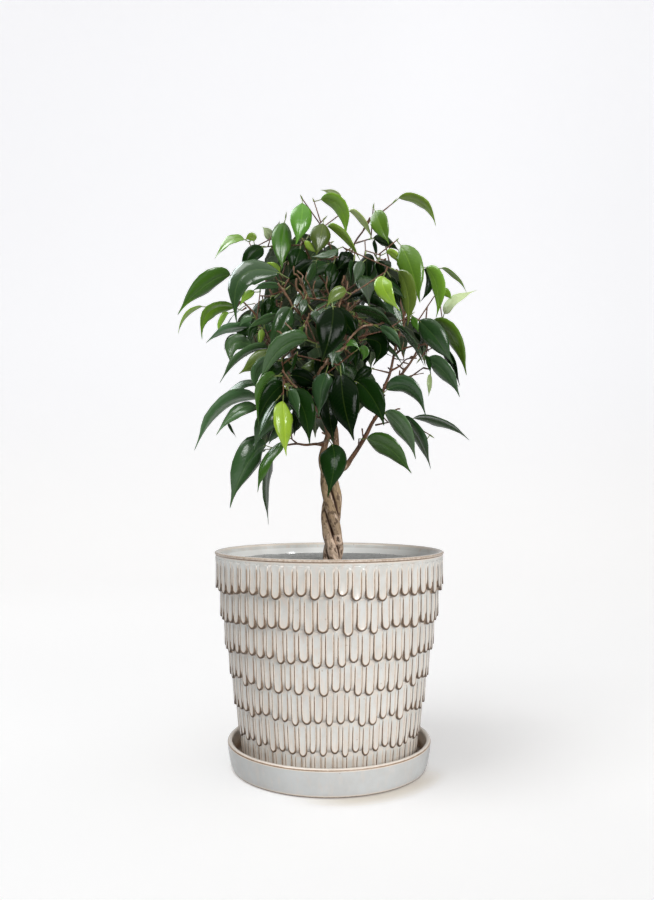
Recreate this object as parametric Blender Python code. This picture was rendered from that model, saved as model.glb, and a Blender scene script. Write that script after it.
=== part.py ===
"""Potted weeping fig: three young plants twisted into one braided trunk, in a shingled pot on a saucer.

Metres, +Z up. The origin is the middle of the saucer's underside, and -Y is the front.
"""

import math
import random
from dataclasses import dataclass
from enum import Enum

import bmesh
import bpy
from mathutils import Vector, noise
from mathutils.bvhtree import BVHTree

MM = 0.001
UP = Vector((0.0, 0.0, 1.0))

# Gap left between touching pieces, and the merge distances tried on a union, largest first
GAP = 0.0003
WELDS = (0.00015, 0.00010, 0.00006, 0.00003, 0.00001, 0.000002)

# Saucer: turned dish, flat underneath
SAUCER_RIM_RADIUS = 0.0984
SAUCER_HEIGHT = 0.0242
SAUCER_FOOT_RADIUS = 0.0930
SAUCER_FLOOR = 0.0065
SAUCER_WALL = 0.0044
SAUCER_BEND = 0.0125
SAUCER_SIDES = 36

# Pot: tapered wall covered by seven rows of overlapping round-ended fingers
POT_BASE = SAUCER_FLOOR + GAP
POT_FOOT_RADIUS = 0.0815
POT_TOP = 0.2062
POT_RIM_RADIUS = 0.1120
POT_WALL = 0.0072
POT_FLOOR = 0.0080
RIM_INSIDE = 0.0058
BORE_TOP = 0.2000
DRAIN_RADIUS = 0.0110
FINGERS = 58
FINGER_GAP = 0.0020
ROW_LEVELS = (0.1985, 0.1720, 0.1428, 0.1148, 0.0892, 0.0620, 0.0345, 0.0092)
ROW_LIFTS = (0.0048, 0.0043, 0.0036, 0.0028, 0.0026, 0.0020, 0.0020)
ROUND_END = 0.0034
SHOULDER_SHARE = 0.86
WALL_LOW = (0.0080, 0.0825)
WALL_SLOPE = 0.1463
FINGER_LENGTH_JITTER = 0.0030
FINGER_WIDTH_JITTER = 0.11
POT_SEED = 11

# Soil and the even mineral layer on top of it
SOIL_TOP = 0.1862
TOPPING_TOP = 0.1930
TOPPING_RELIEF = 0.0007
SOIL_SIDES = 28
SOIL_PLAY = 0.00045
STEM_HOLE_RADIUS = 0.0108
STEM_HOLE_FLOOR = 0.1300
STEM_HOLE_SIDES = 24

# Braid: three strands twisted round one axis
TRUNK_X = 0.0040
TRUNK_LEAN = -0.030
BRAID_PITCH = 0.125
BRAID_PHASE_LEVEL = 0.265
BRAID_TOP = 0.284
BRAID_RINGS = 14
STRAND_RADIUS = 0.0046
STRAND_TOP_RADIUS = 0.0040
BRAID_RADIUS = 0.00555
STRAND_HEEL = 0.003
LEADER_TIP_RADIUS = 0.0012
STEM_SIDES = 6
LIMB_SIDES = 5
PATH_STEP = 0.020

# Leaf chart: a drawing plate through the trunk, seen from the eye point.
# Chart steps run right and down from the plate's top left corner.
EYE = Vector((0.0, -0.812, 0.286))
STEP = 0.000993
PLATE_LEFT = -0.3269
PLATE_TOP = 0.7522
CROWN_CENTRE = Vector((-0.002, 0.0, 0.405))
CROWN_SIZE = Vector((0.165, 0.125, 0.190))

# Leaves and twigs; a leaf's rings are shares of its length and of its width
LEAF_RINGS = ((0.0, 0.0), (0.30, 0.5), (0.62, 0.40))
LEAF_WIDTH_RATIO = 0.44
LEAF_THICKNESS = 0.0013
LEAF_FOLD = 0.20
LEAF_ARCH = 0.07
PETIOLE_RATIO = 0.17
PETIOLE_SHORTEST = 0.006
PETIOLE_RADIUS = 0.0008
NARROW_LEAF = 0.008
TWIG_RADIUS = 0.0012
FORK_RATIO = 0.45
FORK_SETBACK = 0.004
STRAIGHT = 0.80
CLEARANCE = 0.0007
FORK_CLEARANCE = 0.00042
FORK_HIDDEN = 0.0035
BUD_SPACING = 0.020
FORKS_AT_END = 2
FORK_STEP = 0.0017
TWIG_REACH = 0.095
TWIG_CHOICES = 10
NEW_SPRAY_COST = 0.004
MAX_SPRAYS = 52
SPRAY_LEAVES = 8

# Leaves that the chart doesn't draw: first where the crown still shows light, then behind
RULE_LEAVES = 73
RULE_LENGTHS = (0.040, 0.060)
RULE_SEED = 5
RULE_TRIES = 5000
FILL_TRIES = 4000
FILL_CELLS = 14
CELL = 4.0
PUSHES = (0, 5, -5, 10, -10, 16, -16, 22, -22, 30, -30)
SWINGS = (0.0, 0.25, -0.25)


class Tone(Enum):
    """Leaf colours, from young growth to old."""

    PALE = (0.52, 0.56, 0.30)
    LIME = (0.42, 0.55, 0.08)
    GOLD = (0.62, 0.62, 0.12)
    BRIGHT = (0.16, 0.38, 0.06)
    FRESH = (0.12, 0.26, 0.05)
    OLIVE = (0.15, 0.21, 0.06)
    BLUE = (0.12, 0.24, 0.15)
    DEEP = (0.03, 0.09, 0.03)


class Face(Enum):
    """Which side of the blade shows from the front."""

    TOP = 1
    UNDER = -1


@dataclass(frozen=True)
class Drawn:
    """One leaf of the chart: midrib points, seen width, how far forward it hangs, colour."""

    base: tuple
    bend: tuple
    tip: tuple
    seen: float
    layer: float
    tone: Tone
    turn: int = 1
    face: Face = Face.TOP


@dataclass(frozen=True)
class Limb:
    """One woody branch: (across, down, forward) steps on the plate, and its two radii in mm."""

    stem: str
    route: tuple
    thick: float
    thin: float


@dataclass(frozen=True)
class Blade:
    """One leaf in space."""

    base: Vector
    bend: Vector
    tip: Vector
    facing: Vector
    width: float
    roll: float
    tone: Tone
    face: Face


@dataclass
class Shell:
    """A closed body's points and faces."""

    points: list
    faces: list


@dataclass
class Placed:
    """A body already in the crown, kept for clearance tests."""

    tree: BVHTree
    low: Vector
    high: Vector


@dataclass
class Anchor:
    """A place a twig can start from: on a limb, or at the end of an earlier twig."""

    point: Vector
    along: Vector
    radius: float
    spray: int
    used: int = 0


P, L, G, B, F, O, S, D = (
    Tone.PALE, Tone.LIME, Tone.GOLD, Tone.BRIGHT, Tone.FRESH, Tone.OLIVE, Tone.BLUE, Tone.DEEP
)

TOP_LEAVES = (
    Drawn((339, 198), (334, 191), (321, 186), 9, 0.15, P, 1, Face.UNDER),
    Drawn((321, 197), (340, 207), (346, 236), 15, 0.35, B, -1),
    Drawn((302, 201), (301, 221), (296, 242), 22, 0.45, B),
    Drawn((284, 221), (282, 244), (282, 268), 20, 0.30, S),
    Drawn((272, 238), (268, 231), (261, 224), 10, 0.05, P, 1, Face.UNDER),
    Drawn((272, 232), (276, 226), (279, 218), 6, 0.10, O),
    Drawn((243, 237), (229, 240), (214, 256), 9, 0.00, L, -1),
    Drawn((253, 239), (250, 235), (244, 238), 10, 0.00, G),
    Drawn((262, 246), (251, 256), (239, 273), 16, 0.30, D, -1),
    Drawn((350, 209), (363, 219), (373, 238), 7, 0.20, P, -1),
    Drawn((376, 209), (382, 224), (389, 242), 18, 0.35, O, -1),
    Drawn((374, 236), (387, 241), (400, 249), 10, 0.10, D, -1),
    Drawn((375, 238), (377, 247), (377, 256), 4, 0.05, D),
    Drawn((400, 195), (424, 200), (437, 222), 10, 0.00, O, -1),
    Drawn((323, 222), (321, 237), (317, 253), 21, 0.35, O),
    Drawn((328, 225), (345, 237), (360, 259), 8, 0.30, L, -1),
    Drawn((279, 272), (272, 266), (263, 261), 9, 0.20, L),
    Drawn((338, 248), (326, 254), (312, 255), 8, 0.45, S, -1),
    Drawn((350, 251), (346, 260), (336, 270), 17, 0.35, D),
    Drawn((366, 253), (368, 266), (367, 283), 16, 0.30, D, -1),
    Drawn((300, 247), (297, 260), (291, 274), 20, 0.25, D),
    Drawn((304, 240), (310, 246), (317, 252), 7, 0.30, L, -1),
    Drawn((316, 262), (311, 276), (302, 289), 10, 0.40, S),
    Drawn((334, 262), (331, 275), (328, 288), 14, 0.35, D),
)

RIGHT_LEAVES = (
    Drawn((402, 245), (412, 270), (419, 301), 25, 0.60, B, -1),
    Drawn((387, 252), (396, 255), (403, 268), 8, 0.50, L, -1),
    Drawn((399, 272), (410, 295), (407, 326), 17, 0.70, O, -1),
    Drawn((427, 267), (439, 287), (437, 317), 15, 0.30, F, -1),
    Drawn((425, 268), (430, 284), (421, 300), 5, 0.15, D, -1),
    Drawn((443, 267), (457, 275), (468, 290), 5, 0.05, O, -1),
    Drawn((444, 287), (449, 293), (452, 298), 7, 0.05, O, -1),
    Drawn((445, 313), (456, 300), (478, 289), 14, 0.10, P, 1, Face.UNDER),
    Drawn((384, 277), (385, 292), (401, 311), 18, 0.75, L, -1),
    Drawn((389, 284), (402, 293), (409, 316), 10, 0.40, D, -1),
    Drawn((412, 318), (416, 325), (419, 333), 7, 0.60, B, -1),
    Drawn((434, 322), (453, 340), (468, 374), 15, 0.35, F, -1),
    Drawn((420, 321), (436, 340), (453, 364), 23, 0.45, D, -1),
    Drawn((440, 349), (451, 362), (459, 385), 9, 0.25, D, -1),
    Drawn((428, 360), (446, 373), (460, 396), 13, 0.40, D, -1),
    Drawn((431, 375), (431, 386), (429, 397), 5, 0.35, P),
    Drawn((427, 356), (429, 365), (431, 374), 5, 0.36, D),
    Drawn((397, 328), (411, 341), (424, 366), 6, 0.65, S, -1),
    Drawn((380, 329), (393, 337), (402, 351), 10, 0.60, S, -1),
    Drawn((387, 391), (409, 390), (428, 416), 17, 0.40, D, -1),
    Drawn((367, 440), (389, 452), (411, 474), 20, 0.35, F, -1),
    Drawn((385, 414), (403, 432), (416, 459), 17, 0.45, S, -1),
    Drawn((400, 421), (418, 437), (429, 468), 15, 0.30, D, -1),
    Drawn((427, 440), (425, 450), (428, 460), 3, 0.25, D),
    Drawn((414, 419), (441, 421), (469, 439), 9, 0.25, S, -1),
    Drawn((352, 312), (376, 314), (396, 332), 10, 0.55, S, -1),
    Drawn((360, 300), (375, 303), (391, 313), 10, 0.45, D, -1),
    Drawn((357, 384), (374, 400), (384, 427), 26, 0.65, D, -1),
    Drawn((366, 340), (381, 347), (373, 367), 20, 0.45, D, -1),
    Drawn((372, 370), (363, 376), (351, 385), 12, 0.45, D),
    Drawn((347, 348), (353, 344), (360, 352), 7, 0.60, F),
    Drawn((359, 350), (365, 354), (362, 363), 9, 0.60, F, -1),
    Drawn((352, 345), (352, 356), (346, 366), 7, 0.50, S),
)

MIDDLE_LEAVES = (
    Drawn((333, 309), (331, 335), (321, 363), 31, 0.75, D),
    Drawn((346, 293), (336, 296), (326, 308), 13, 0.70, O),
    Drawn((341, 376), (345, 408), (353, 442), 31, 0.80, D, -1),
    Drawn((326, 388), (330, 415), (333, 443), 20, 0.55, D),
    Drawn((332, 446), (334, 466), (328, 498), 27, 0.55, D),
    Drawn((291, 309), (281, 327), (268, 353), 20, 0.60, D),
    Drawn((305, 300), (303, 309), (301, 318), 9, 0.60, F),
    Drawn((303, 328), (300, 335), (298, 342), 4, 0.65, L),
    Drawn((307, 342), (281, 352), (257, 386), 19, 0.75, S),
    Drawn((290, 377), (307, 380), (322, 393), 17, 0.50, D, -1),
    Drawn((291, 393), (303, 413), (310, 446), 23, 0.65, D, -1),
    Drawn((283, 404), (284, 429), (286, 457), 19, 0.85, G),
    Drawn((313, 312), (316, 319), (319, 330), 9, 0.65, F),
    Drawn((320, 362), (308, 370), (296, 372), 12, 0.50, O),
    Drawn((297, 356), (295, 365), (291, 375), 4, 0.60, L),
)

LEFT_LEAVES = (
    Drawn((279, 273), (240, 277), (238, 323), 25, 0.60, S, -1),
    Drawn((280, 287), (265, 286), (251, 291), 7, 0.50, O),
    Drawn((229, 274), (202, 284), (178, 313), 19, 0.15, F),
    Drawn((201, 306), (186, 315), (177, 332), 4, 0.05, L),
    Drawn((234, 307), (207, 311), (201, 339), 13, 0.30, F),
    Drawn((228, 313), (221, 321), (217, 334), 6, 0.25, L),
    Drawn((253, 329), (229, 330), (204, 341), 9, 0.35, S),
    Drawn((236, 335), (228, 341), (224, 350), 5, 0.20, D),
    Drawn((252, 347), (233, 345), (231, 368), 16, 0.35, S),
    Drawn((268, 350), (243, 357), (219, 383), 6, 0.45, S),
    Drawn((269, 351), (256, 363), (237, 374), 17, 0.55, O, -1),
    Drawn((275, 378), (262, 393), (257, 426), 7, 0.70, B),
    Drawn((275, 362), (258, 373), (258, 396), 12, 0.60, S),
    Drawn((259, 383), (240, 386), (220, 401), 8, 0.35, F, -1),
    Drawn((257, 400), (223, 409), (196, 448), 12, 0.30, F),
    Drawn((257, 408), (237, 412), (217, 435), 13, 0.45, F, -1),
    Drawn((229, 424), (232, 430), (236, 438), 3, 0.20, D),
    Drawn((284, 386), (268, 401), (256, 428), 20, 0.60, D),
    Drawn((281, 414), (265, 424), (254, 450), 21, 0.55, D),
    Drawn((266, 447), (247, 463), (230, 508), 28, 0.50, S),
    Drawn((283, 443), (265, 464), (259, 493), 10, 0.65, F, -1),
    Drawn((273, 457), (268, 483), (268, 524), 9, 0.40, S),
    Drawn((280, 317), (262, 320), (247, 331), 9, 0.55, S),
    Drawn((254, 292), (246, 297), (239, 306), 8, 0.40, L),
    Drawn((252, 318), (245, 321), (239, 327), 8, 0.40, O),
    Drawn((262, 330), (261, 338), (258, 347), 7, 0.45, G),
    Drawn((258, 328), (250, 333), (253, 347), 9, 0.50, D),
    Drawn((270, 299), (268, 307), (266, 315), 7, 0.45, D),
)

MAIN_ROUTES = {
    "stem_right": (
        (345, 467, -3), (352, 458, 0), (360, 446, 4), (366, 436, 8), (372, 424, 10),
        (377, 416, 10), (381, 402, 8), (384, 389, 6), (390, 374, 5), (394, 356, 5),
        (398, 338, 8), (404, 318, 12), (408, 298, 15), (406, 278, 12), (398, 262, 5),
    ),
    "stem_left": (
        (322, 459, 4), (325, 446, 10), (328, 434, 15), (324, 420, 18), (316, 409, 20),
        (309, 400, 24), (300, 392, 28), (289, 385, 30), (281, 372, 28), (275, 356, 26),
        (268, 342, 24), (261, 328, 24), (255, 315, 24), (247, 306, 22), (241, 300, 20),
    ),
    "stem_centre": (
        (335, 455, 4), (336, 440, -2), (334, 424, -8), (329, 408, -6), (324, 392, 2),
        (320, 380, 12), (321, 371, 18), (327, 361, 22), (336, 351, 22), (344, 342, 20),
        (347, 330, 14), (348, 317, 8), (346, 303, 2), (347, 290, 0), (345, 272, -5),
        (350, 258, -8), (355, 241, -10), (363, 229, -10), (371, 217, -12),
    ),
}

LIMBS = (
    Limb("stem_right", ((377, 417, 10), (388, 414, 16), (400, 420, 18), (412, 419, 18)), 1.4, 0.8),
    Limb("stem_right", ((384, 389, 6), (396, 384, 8), (408, 379, 10), (424, 368, 14)), 1.5, 0.8),
    Limb("stem_right", ((391, 371, 5), (400, 366, -2), (407, 359, -8), (417, 358, -12)), 1.2, 0.8),
    Limb("stem_right", ((394, 356, 5), (402, 350, 14), (415, 346, 22), (428, 345, 26)), 1.4, 0.9),
    Limb("stem_right", ((385, 386, 6), (398, 378, -20), (413, 358, -45), (424, 333, -60),
                        (428, 305, -62)), 2.2, 0.9),
    Limb("stem_right", ((398, 338, 8), (404, 322, -20), (400, 297, -45), (392, 268, -58),
                        (386, 242, -52)), 2.0, 0.9),
    Limb("stem_left", ((325, 446, 10), (316, 445, 18), (306, 446, 24), (296, 445, 28),
                       (284, 447, 30), (275, 450, 32)), 2.0, 1.0),
    Limb("stem_left", ((282, 374, 28), (272, 379, 34), (262, 384, 36)), 1.4, 0.9),
    Limb("stem_left", ((301, 393, 28), (295, 373, 20), (292, 353, 12), (286, 334, 6),
                       (280, 316, 3), (276, 298, 3), (282, 284, 3), (278, 270, 0)), 2.2, 0.9),
    Limb("stem_left", ((269, 344, 24), (259, 347, 30), (250, 348, 34)), 1.2, 0.8),
    Limb("stem_left", ((300, 392, 28), (292, 378, 0), (278, 358, -30), (262, 335, -48),
                       (250, 310, -50)), 2.2, 0.9),
    Limb("stem_left", ((317, 410, 20), (306, 404, -10), (290, 396, -38), (272, 385, -55)), 2.0, 0.9),
    Limb("stem_centre", ((347, 334, 17), (359, 330, 26), (369, 326, 30), (378, 325, 32),
                         (386, 322, 32)), 2.0, 1.2),
    Limb("stem_centre", ((346, 303, 2), (334, 292, 6), (322, 278, 8), (312, 264, 8),
                         (306, 250, 5), (303, 238, 0)), 1.6, 0.8),
    Limb("stem_centre", ((345, 274, -5), (335, 262, 4), (331, 247, 6), (326, 230, 4)), 1.2, 0.8),
    Limb("stem_centre", ((336, 351, 22), (324, 345, 25), (311, 338, 28), (307, 327, 30),
                         (310, 316, 30), (319, 311, 30)), 1.5, 0.9),
    Limb("stem_centre", ((345, 341, 20), (354, 344, -8), (363, 338, -38), (370, 318, -62),
                         (368, 288, -76)), 2.4, 0.9),
    Limb("stem_centre", ((348, 317, 8), (338, 308, -25), (325, 295, -55), (315, 275, -72),
                         (312, 248, -70)), 2.2, 0.9),
    Limb("stem_centre", ((330, 410, -6), (331, 397, -35), (336, 380, -62), (346, 358, -86)), 2.4, 0.9),
    Limb("stem_centre", ((347, 290, 0), (358, 281, -10), (374, 268, -8), (386, 258, 0)), 1.4, 0.8),
)

# Where the crown is dense from the front, as a ring of plate points
DENSE_OUTLINE = (
    (266, 238), (286, 222), (304, 224), (318, 238), (350, 248), (372, 262), (398, 262), (426, 274),
    (424, 292), (408, 300), (408, 318), (436, 322), (444, 352), (424, 356), (400, 352), (384, 356),
    (364, 368), (388, 380), (390, 396), (372, 412), (350, 416), (344, 430), (336, 440), (318, 436),
    (310, 424), (300, 430), (290, 440), (258, 446), (256, 350), (236, 340), (232, 308), (262, 300),
    (262, 286), (236, 284), (236, 272), (262, 264),
)


def build_part():
    """Clear the scene, then make every piece."""
    for item in list(bpy.data.objects):
        bpy.data.objects.remove(item, do_unlink=True)
    make_saucer()
    make_pot()
    make_soil()
    make_topping()
    routes = limb_routes()
    make_stems(routes)
    make_sprays(routes)


# Materials and meshes


def finish(name, colour, roughness):
    """A Principled material of one colour."""
    material = bpy.data.materials.new(name)
    material.use_nodes = True
    shader = material.node_tree.nodes["Principled BSDF"]
    shader.inputs["Base Color"].default_value = (*colour, 1.0)
    shader.inputs["Roughness"].default_value = roughness
    shader.inputs["Metallic"].default_value = 0.0
    material.diffuse_color = (*colour, 1.0)
    return material


def add_body(name, shell, material, smooth=False):
    """One closed mesh object, its faces turned outwards."""
    mesh = bpy.data.meshes.new(name)
    mesh.from_pydata([tuple(point) for point in shell.points], [], shell.faces)
    work = bmesh.new()
    work.from_mesh(mesh)
    bmesh.ops.recalc_face_normals(work, faces=work.faces)
    work.to_mesh(mesh)
    work.free()
    body = bpy.data.objects.new(name, mesh)
    bpy.context.scene.collection.objects.link(body)
    mesh.materials.append(material)
    if smooth:
        mesh.shade_smooth()
        mesh.set_sharp_from_angle(angle=math.radians(35.0))
    return body


def fuse(name, shells, material):
    """Join closed bodies into one by a Boolean union on a collection."""
    pieces = [add_body(f"{name}_piece", shell, material) for shell in shells]
    body = pieces.pop(0)
    body.name = name
    if not pieces:
        return body
    group = bpy.data.collections.new(f"{name}_pieces")
    for piece in pieces:
        bpy.context.scene.collection.objects.unlink(piece)
        group.objects.link(piece)
    union = body.modifiers.new("union", "BOOLEAN")
    union.operation = "UNION"
    union.operand_type = "COLLECTION"
    union.collection = group
    for solver in ("EXACT", "MANIFOLD"):
        union.solver = solver
        graph = bpy.context.evaluated_depsgraph_get()
        joined = bpy.data.meshes.new_from_object(body.evaluated_get(graph))
        if tidy_union(joined):
            break
    body.modifiers.clear()
    body.data = joined
    for piece in pieces:
        bpy.data.objects.remove(piece, do_unlink=True)
    bpy.data.collections.remove(group)
    return body


def connected_parts(work):
    """The mesh's faces, grouped by what they hang together with."""
    left = set(work.faces)
    parts = []
    while left:
        reached = [left.pop()]
        part = []
        while reached:
            face = reached.pop()
            part.append(face)
            for edge in face.edges:
                for other in edge.link_faces:
                    if other in left:
                        left.remove(other)
                        reached.append(other)
        parts.append(part)
    return sorted(parts, key=len, reverse=True)


def tidy_union(mesh):
    """Merge a union's tiny edges and fill its sealed hollows; True where one sound body is left."""
    for distance in WELDS:
        work = bmesh.new()
        work.from_mesh(mesh)
        bmesh.ops.remove_doubles(work, verts=work.verts, dist=distance)
        bmesh.ops.triangulate(work, faces=work.faces)
        for scrap in connected_parts(work)[1:]:
            bmesh.ops.delete(work, geom=scrap, context="FACES")
        closed = all(edge.is_manifold for edge in work.edges)
        closed = closed and all(vertex.is_manifold for vertex in work.verts)
        if closed:
            work.to_mesh(mesh)
        work.free()
        if closed:
            return True
    return False


def ring_strip(first, second):
    """Quads between two rings of point numbers of the same length."""
    count = len(first)
    return [
        (first[i], first[(i + 1) % count], second[(i + 1) % count], second[i]) for i in range(count)
    ]


def turned(profile, sides, centre_x=0.0):
    """Closed body of revolution; profile points at radius 0 become poles."""
    points = []
    rings = []
    for radius, level in profile:
        start = len(points)
        if radius == 0.0:
            points.append(Vector((centre_x, 0.0, level)))
            rings.append([start] * sides)
            continue
        for i in range(sides):
            angle = 2.0 * math.pi * i / sides
            points.append(Vector((centre_x + radius * math.cos(angle), radius * math.sin(angle), level)))
        rings.append(list(range(start, start + sides)))
    faces = []
    closed = profile[0][0] != 0.0
    pairs = list(zip(rings, rings[1:] + rings[:1])) if closed else list(zip(rings, rings[1:]))
    for first, second in pairs:
        for face in ring_strip(first, second):
            corners = tuple(dict.fromkeys(face))
            if len(corners) > 2:
                faces.append(corners)
    return Shell(points, faces)


# Saucer, pot, soil


def make_saucer():
    """Shallow dish with a flat foot and a rounded lip."""
    inner = SAUCER_RIM_RADIUS - SAUCER_WALL
    profile = (
        (0.0, 0.0),
        (SAUCER_FOOT_RADIUS, 0.0),
        (SAUCER_FOOT_RADIUS + 0.0014, 0.0014),
        (SAUCER_RIM_RADIUS - 0.0018, SAUCER_BEND),
        (SAUCER_RIM_RADIUS, SAUCER_HEIGHT - 0.0022),
        (SAUCER_RIM_RADIUS - 0.0009, SAUCER_HEIGHT),
        (inner + 0.0010, SAUCER_HEIGHT),
        (inner, SAUCER_HEIGHT - 0.0018),
        (inner - 0.0012, SAUCER_BEND),
        (inner - 0.0032, SAUCER_FLOOR + 0.0012),
        (inner - 0.0056, SAUCER_FLOOR),
        (0.0, SAUCER_FLOOR),
    )
    glaze = finish("saucer_glaze", (0.60, 0.57, 0.52), 0.35)
    add_body("saucer", turned(profile, SAUCER_SIDES), glaze, smooth=True)


def wall_radius(level):
    """Radius of the pot's plain wall between the fingers."""
    return WALL_LOW[1] + (level - WALL_LOW[0]) * WALL_SLOPE


def bore_radius(level):
    """Radius of the pot's inside."""
    return wall_radius(level) - POT_WALL + 0.0006


def around(radius, angle, level):
    """Point at a radius, angle and height."""
    return Vector((radius * math.cos(angle), radius * math.sin(angle), level))


def finger_boundaries():
    """For each row boundary, the angle and height of its points: each is the end of a finger above."""
    draw = random.Random(POT_SEED)
    pitch = 2.0 * math.pi / FINGERS
    boundaries = [[(i * pitch, ROW_LEVELS[0]) for i in range(FINGERS)]]
    for row, level in enumerate(ROW_LEVELS[1:]):
        last = row == len(ROW_LEVELS) - 2
        turn = (row + 1) * pitch * 0.5
        points = []
        for i in range(FINGERS):
            sway = draw.uniform(-1.0, 1.0) * FINGER_WIDTH_JITTER * pitch
            drop = draw.uniform(-1.0, 1.0) * FINGER_LENGTH_JITTER
            points.append((i * pitch + turn + sway, level + (0.0 if last else drop)))
        boundaries.append(points)
    return boundaries


def make_pot():
    """Tapered pot: seven rows of fingers outside, plain glazed wall inside, drain hole below."""
    points = []
    faces = []

    def add(radius, angle, level):
        points.append(around(radius, angle, level))
        return len(points) - 1

    boundaries = finger_boundaries()
    upper = [add(wall_radius(level), angle, level) for angle, level in boundaries[0]]
    top_ring = upper
    for row, lift in enumerate(ROW_LIFTS):
        tops = boundaries[row]
        ends = boundaries[row + 1]
        lower = [add(wall_radius(level), angle, level) for angle, level in ends]
        feet = []
        for i in range(FINGERS):
            angle, level = ends[i]
            left_top = tops[i][0]
            right_top = tops[(i + 1) % FINGERS][0] + (2.0 * math.pi if i == FINGERS - 1 else 0.0)
            half_gap = FINGER_GAP / 2.0 / wall_radius(level)
            shoulder = level + ROUND_END
            plain = wall_radius(shoulder)
            sides = (left_top + half_gap, right_top - half_gap)
            foot = [add(plain, side, shoulder) for side in sides]
            raised = [add(plain + lift * SHOULDER_SHARE, side, shoulder) for side in sides]
            end = add(wall_radius(level) + lift, angle, level)
            left, right = upper[i], upper[(i + 1) % FINGERS]
            apex = lower[i]
            faces += [
                (left, right, raised[1], raised[0]),
                (raised[0], raised[1], end),
                (left, raised[0], foot[0]),
                (right, foot[1], raised[1]),
                (foot[0], raised[0], end, apex),
                (foot[1], apex, end, raised[1]),
            ]
            feet.append(foot)
        for i in range(FINGERS):
            following = (i + 1) % FINGERS
            faces += [
                (upper[following], feet[following][0], feet[i][1]),
                (feet[i][1], feet[following][0], lower[following], lower[i]),
            ]
        upper = lower
    pitch = 2.0 * math.pi / FINGERS

    def plain_ring(radius, level, turn):
        return [add(radius, i * pitch + turn, level) for i in range(FINGERS)]

    turn = len(ROW_LIFTS) * pitch * 0.5
    floor_level = POT_BASE + POT_FLOOR
    inside = (
        (POT_FOOT_RADIUS, POT_BASE),
        (DRAIN_RADIUS, POT_BASE),
        (DRAIN_RADIUS, floor_level),
        (bore_radius(floor_level), floor_level),
        (bore_radius(BORE_TOP), BORE_TOP),
        (POT_RIM_RADIUS - RIM_INSIDE, POT_TOP - 0.0012),
        (POT_RIM_RADIUS - 0.0032, POT_TOP),
        (POT_RIM_RADIUS, POT_TOP - 0.0034),
    )
    for radius, level in inside:
        ring = plain_ring(radius, level, turn)
        faces += ring_strip(upper, ring)
        upper = ring
    shift = len(ROW_LIFTS) // 2 + 1
    aligned = [upper[(i - shift) % FINGERS] for i in range(FINGERS)]
    faces += ring_strip(aligned, top_ring)
    glaze = finish("pot_glaze", (0.62, 0.58, 0.53), 0.35)
    pot = add_body("pot", Shell(points, faces), glaze)
    pot.data.shade_flat()


def make_soil():
    """Root ball: fills the pot below the topping, with one round hole for the braid's foot."""
    floor_level = POT_BASE + POT_FLOOR + GAP
    low = bore_radius(floor_level) - SOIL_PLAY
    high = bore_radius(SOIL_TOP) - SOIL_PLAY
    outer = turned(
        (
            (0.0, floor_level),
            (low, floor_level),
            (high, SOIL_TOP),
            (0.0, SOIL_TOP),
        ),
        SOIL_SIDES,
    )
    soil = add_body("soil", outer, finish("soil", (0.05, 0.035, 0.025), 0.95))
    hole = turned(
        (
            (0.0, STEM_HOLE_FLOOR),
            (STEM_HOLE_RADIUS, STEM_HOLE_FLOOR),
            (STEM_HOLE_RADIUS, SOIL_TOP + 0.01),
            (0.0, SOIL_TOP + 0.01),
        ),
        STEM_HOLE_SIDES,
        TRUNK_X,
    )
    cutter = add_body("soil_hole_cutter", hole, soil.data.materials[0])
    cutter.hide_render = True
    cutter.display_type = "WIRE"
    cut = soil.modifiers.new("stem_hole", "BOOLEAN")
    cut.operation = "DIFFERENCE"
    cut.object = cutter


def make_topping():
    """Even layer of fine grey grit on the soil, slightly uneven on top."""
    base = SOIL_TOP + GAP
    points = []
    rings = []
    hole = STEM_HOLE_RADIUS
    shares = (0.0, 0.45, 1.0)

    def ring_at(share, level, bumpy):
        reach = bore_radius(level) - SOIL_PLAY
        ring = []
        for i in range(SOIL_SIDES):
            angle = 2.0 * math.pi * i / SOIL_SIDES
            x = TRUNK_X * (1.0 - share) + (hole + (reach - hole) * share) * math.cos(angle)
            y = (hole + (reach - hole) * share) * math.sin(angle)
            rise = noise.noise(Vector((x, y, 0.0)) * 60.0) * TOPPING_RELIEF if bumpy else 0.0
            points.append(Vector((x, y, level + rise)))
            ring.append(len(points) - 1)
        return ring

    for share in shares:
        rings.append(ring_at(share, TOPPING_TOP, True))
    rings.append(ring_at(1.0, base, False))
    rings.append(ring_at(0.0, base, False))
    faces = []
    for first, second in zip(rings, rings[1:] + rings[:1]):
        faces += ring_strip(first, second)
    add_body("gravel_topping", Shell(points, faces), finish("grey_grit", (0.25, 0.25, 0.24), 0.9))


# Wood


def trunk_axis(level):
    """Axis of the braid at a height: upright in the soil, leaning a little above it."""
    return Vector((TRUNK_X + TRUNK_LEAN * max(0.0, level - TOPPING_TOP), 0.0, level))


def on_sight_line(across, down, forward):
    """Point seen at a chart place, a distance forward of the trunk's plane."""
    plate = Vector((PLATE_LEFT + across * STEP, 0.0, PLATE_TOP - down * STEP))
    return EYE.lerp(plate, 1.0 - forward / (plate.y - EYE.y))


def smooth_path(points, spacing):
    """Catmull-Rom curve through points, sampled about every spacing."""
    ends = [points[0] * 2.0 - points[1], *points, points[-1] * 2.0 - points[-2]]
    path = [points[0].copy()]
    for before, start, end, after in zip(ends, ends[1:], ends[2:], ends[3:]):
        count = max(1, round((end - start).length / spacing))
        for i in range(1, count + 1):
            t = i / count
            path.append(
                0.5 * (
                    2.0 * start
                    + (end - before) * t
                    + (2.0 * before - 5.0 * start + 4.0 * end - after) * t * t
                    + (3.0 * start - before - 3.0 * end + after) * t * t * t
                )
            )
    return path


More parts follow.
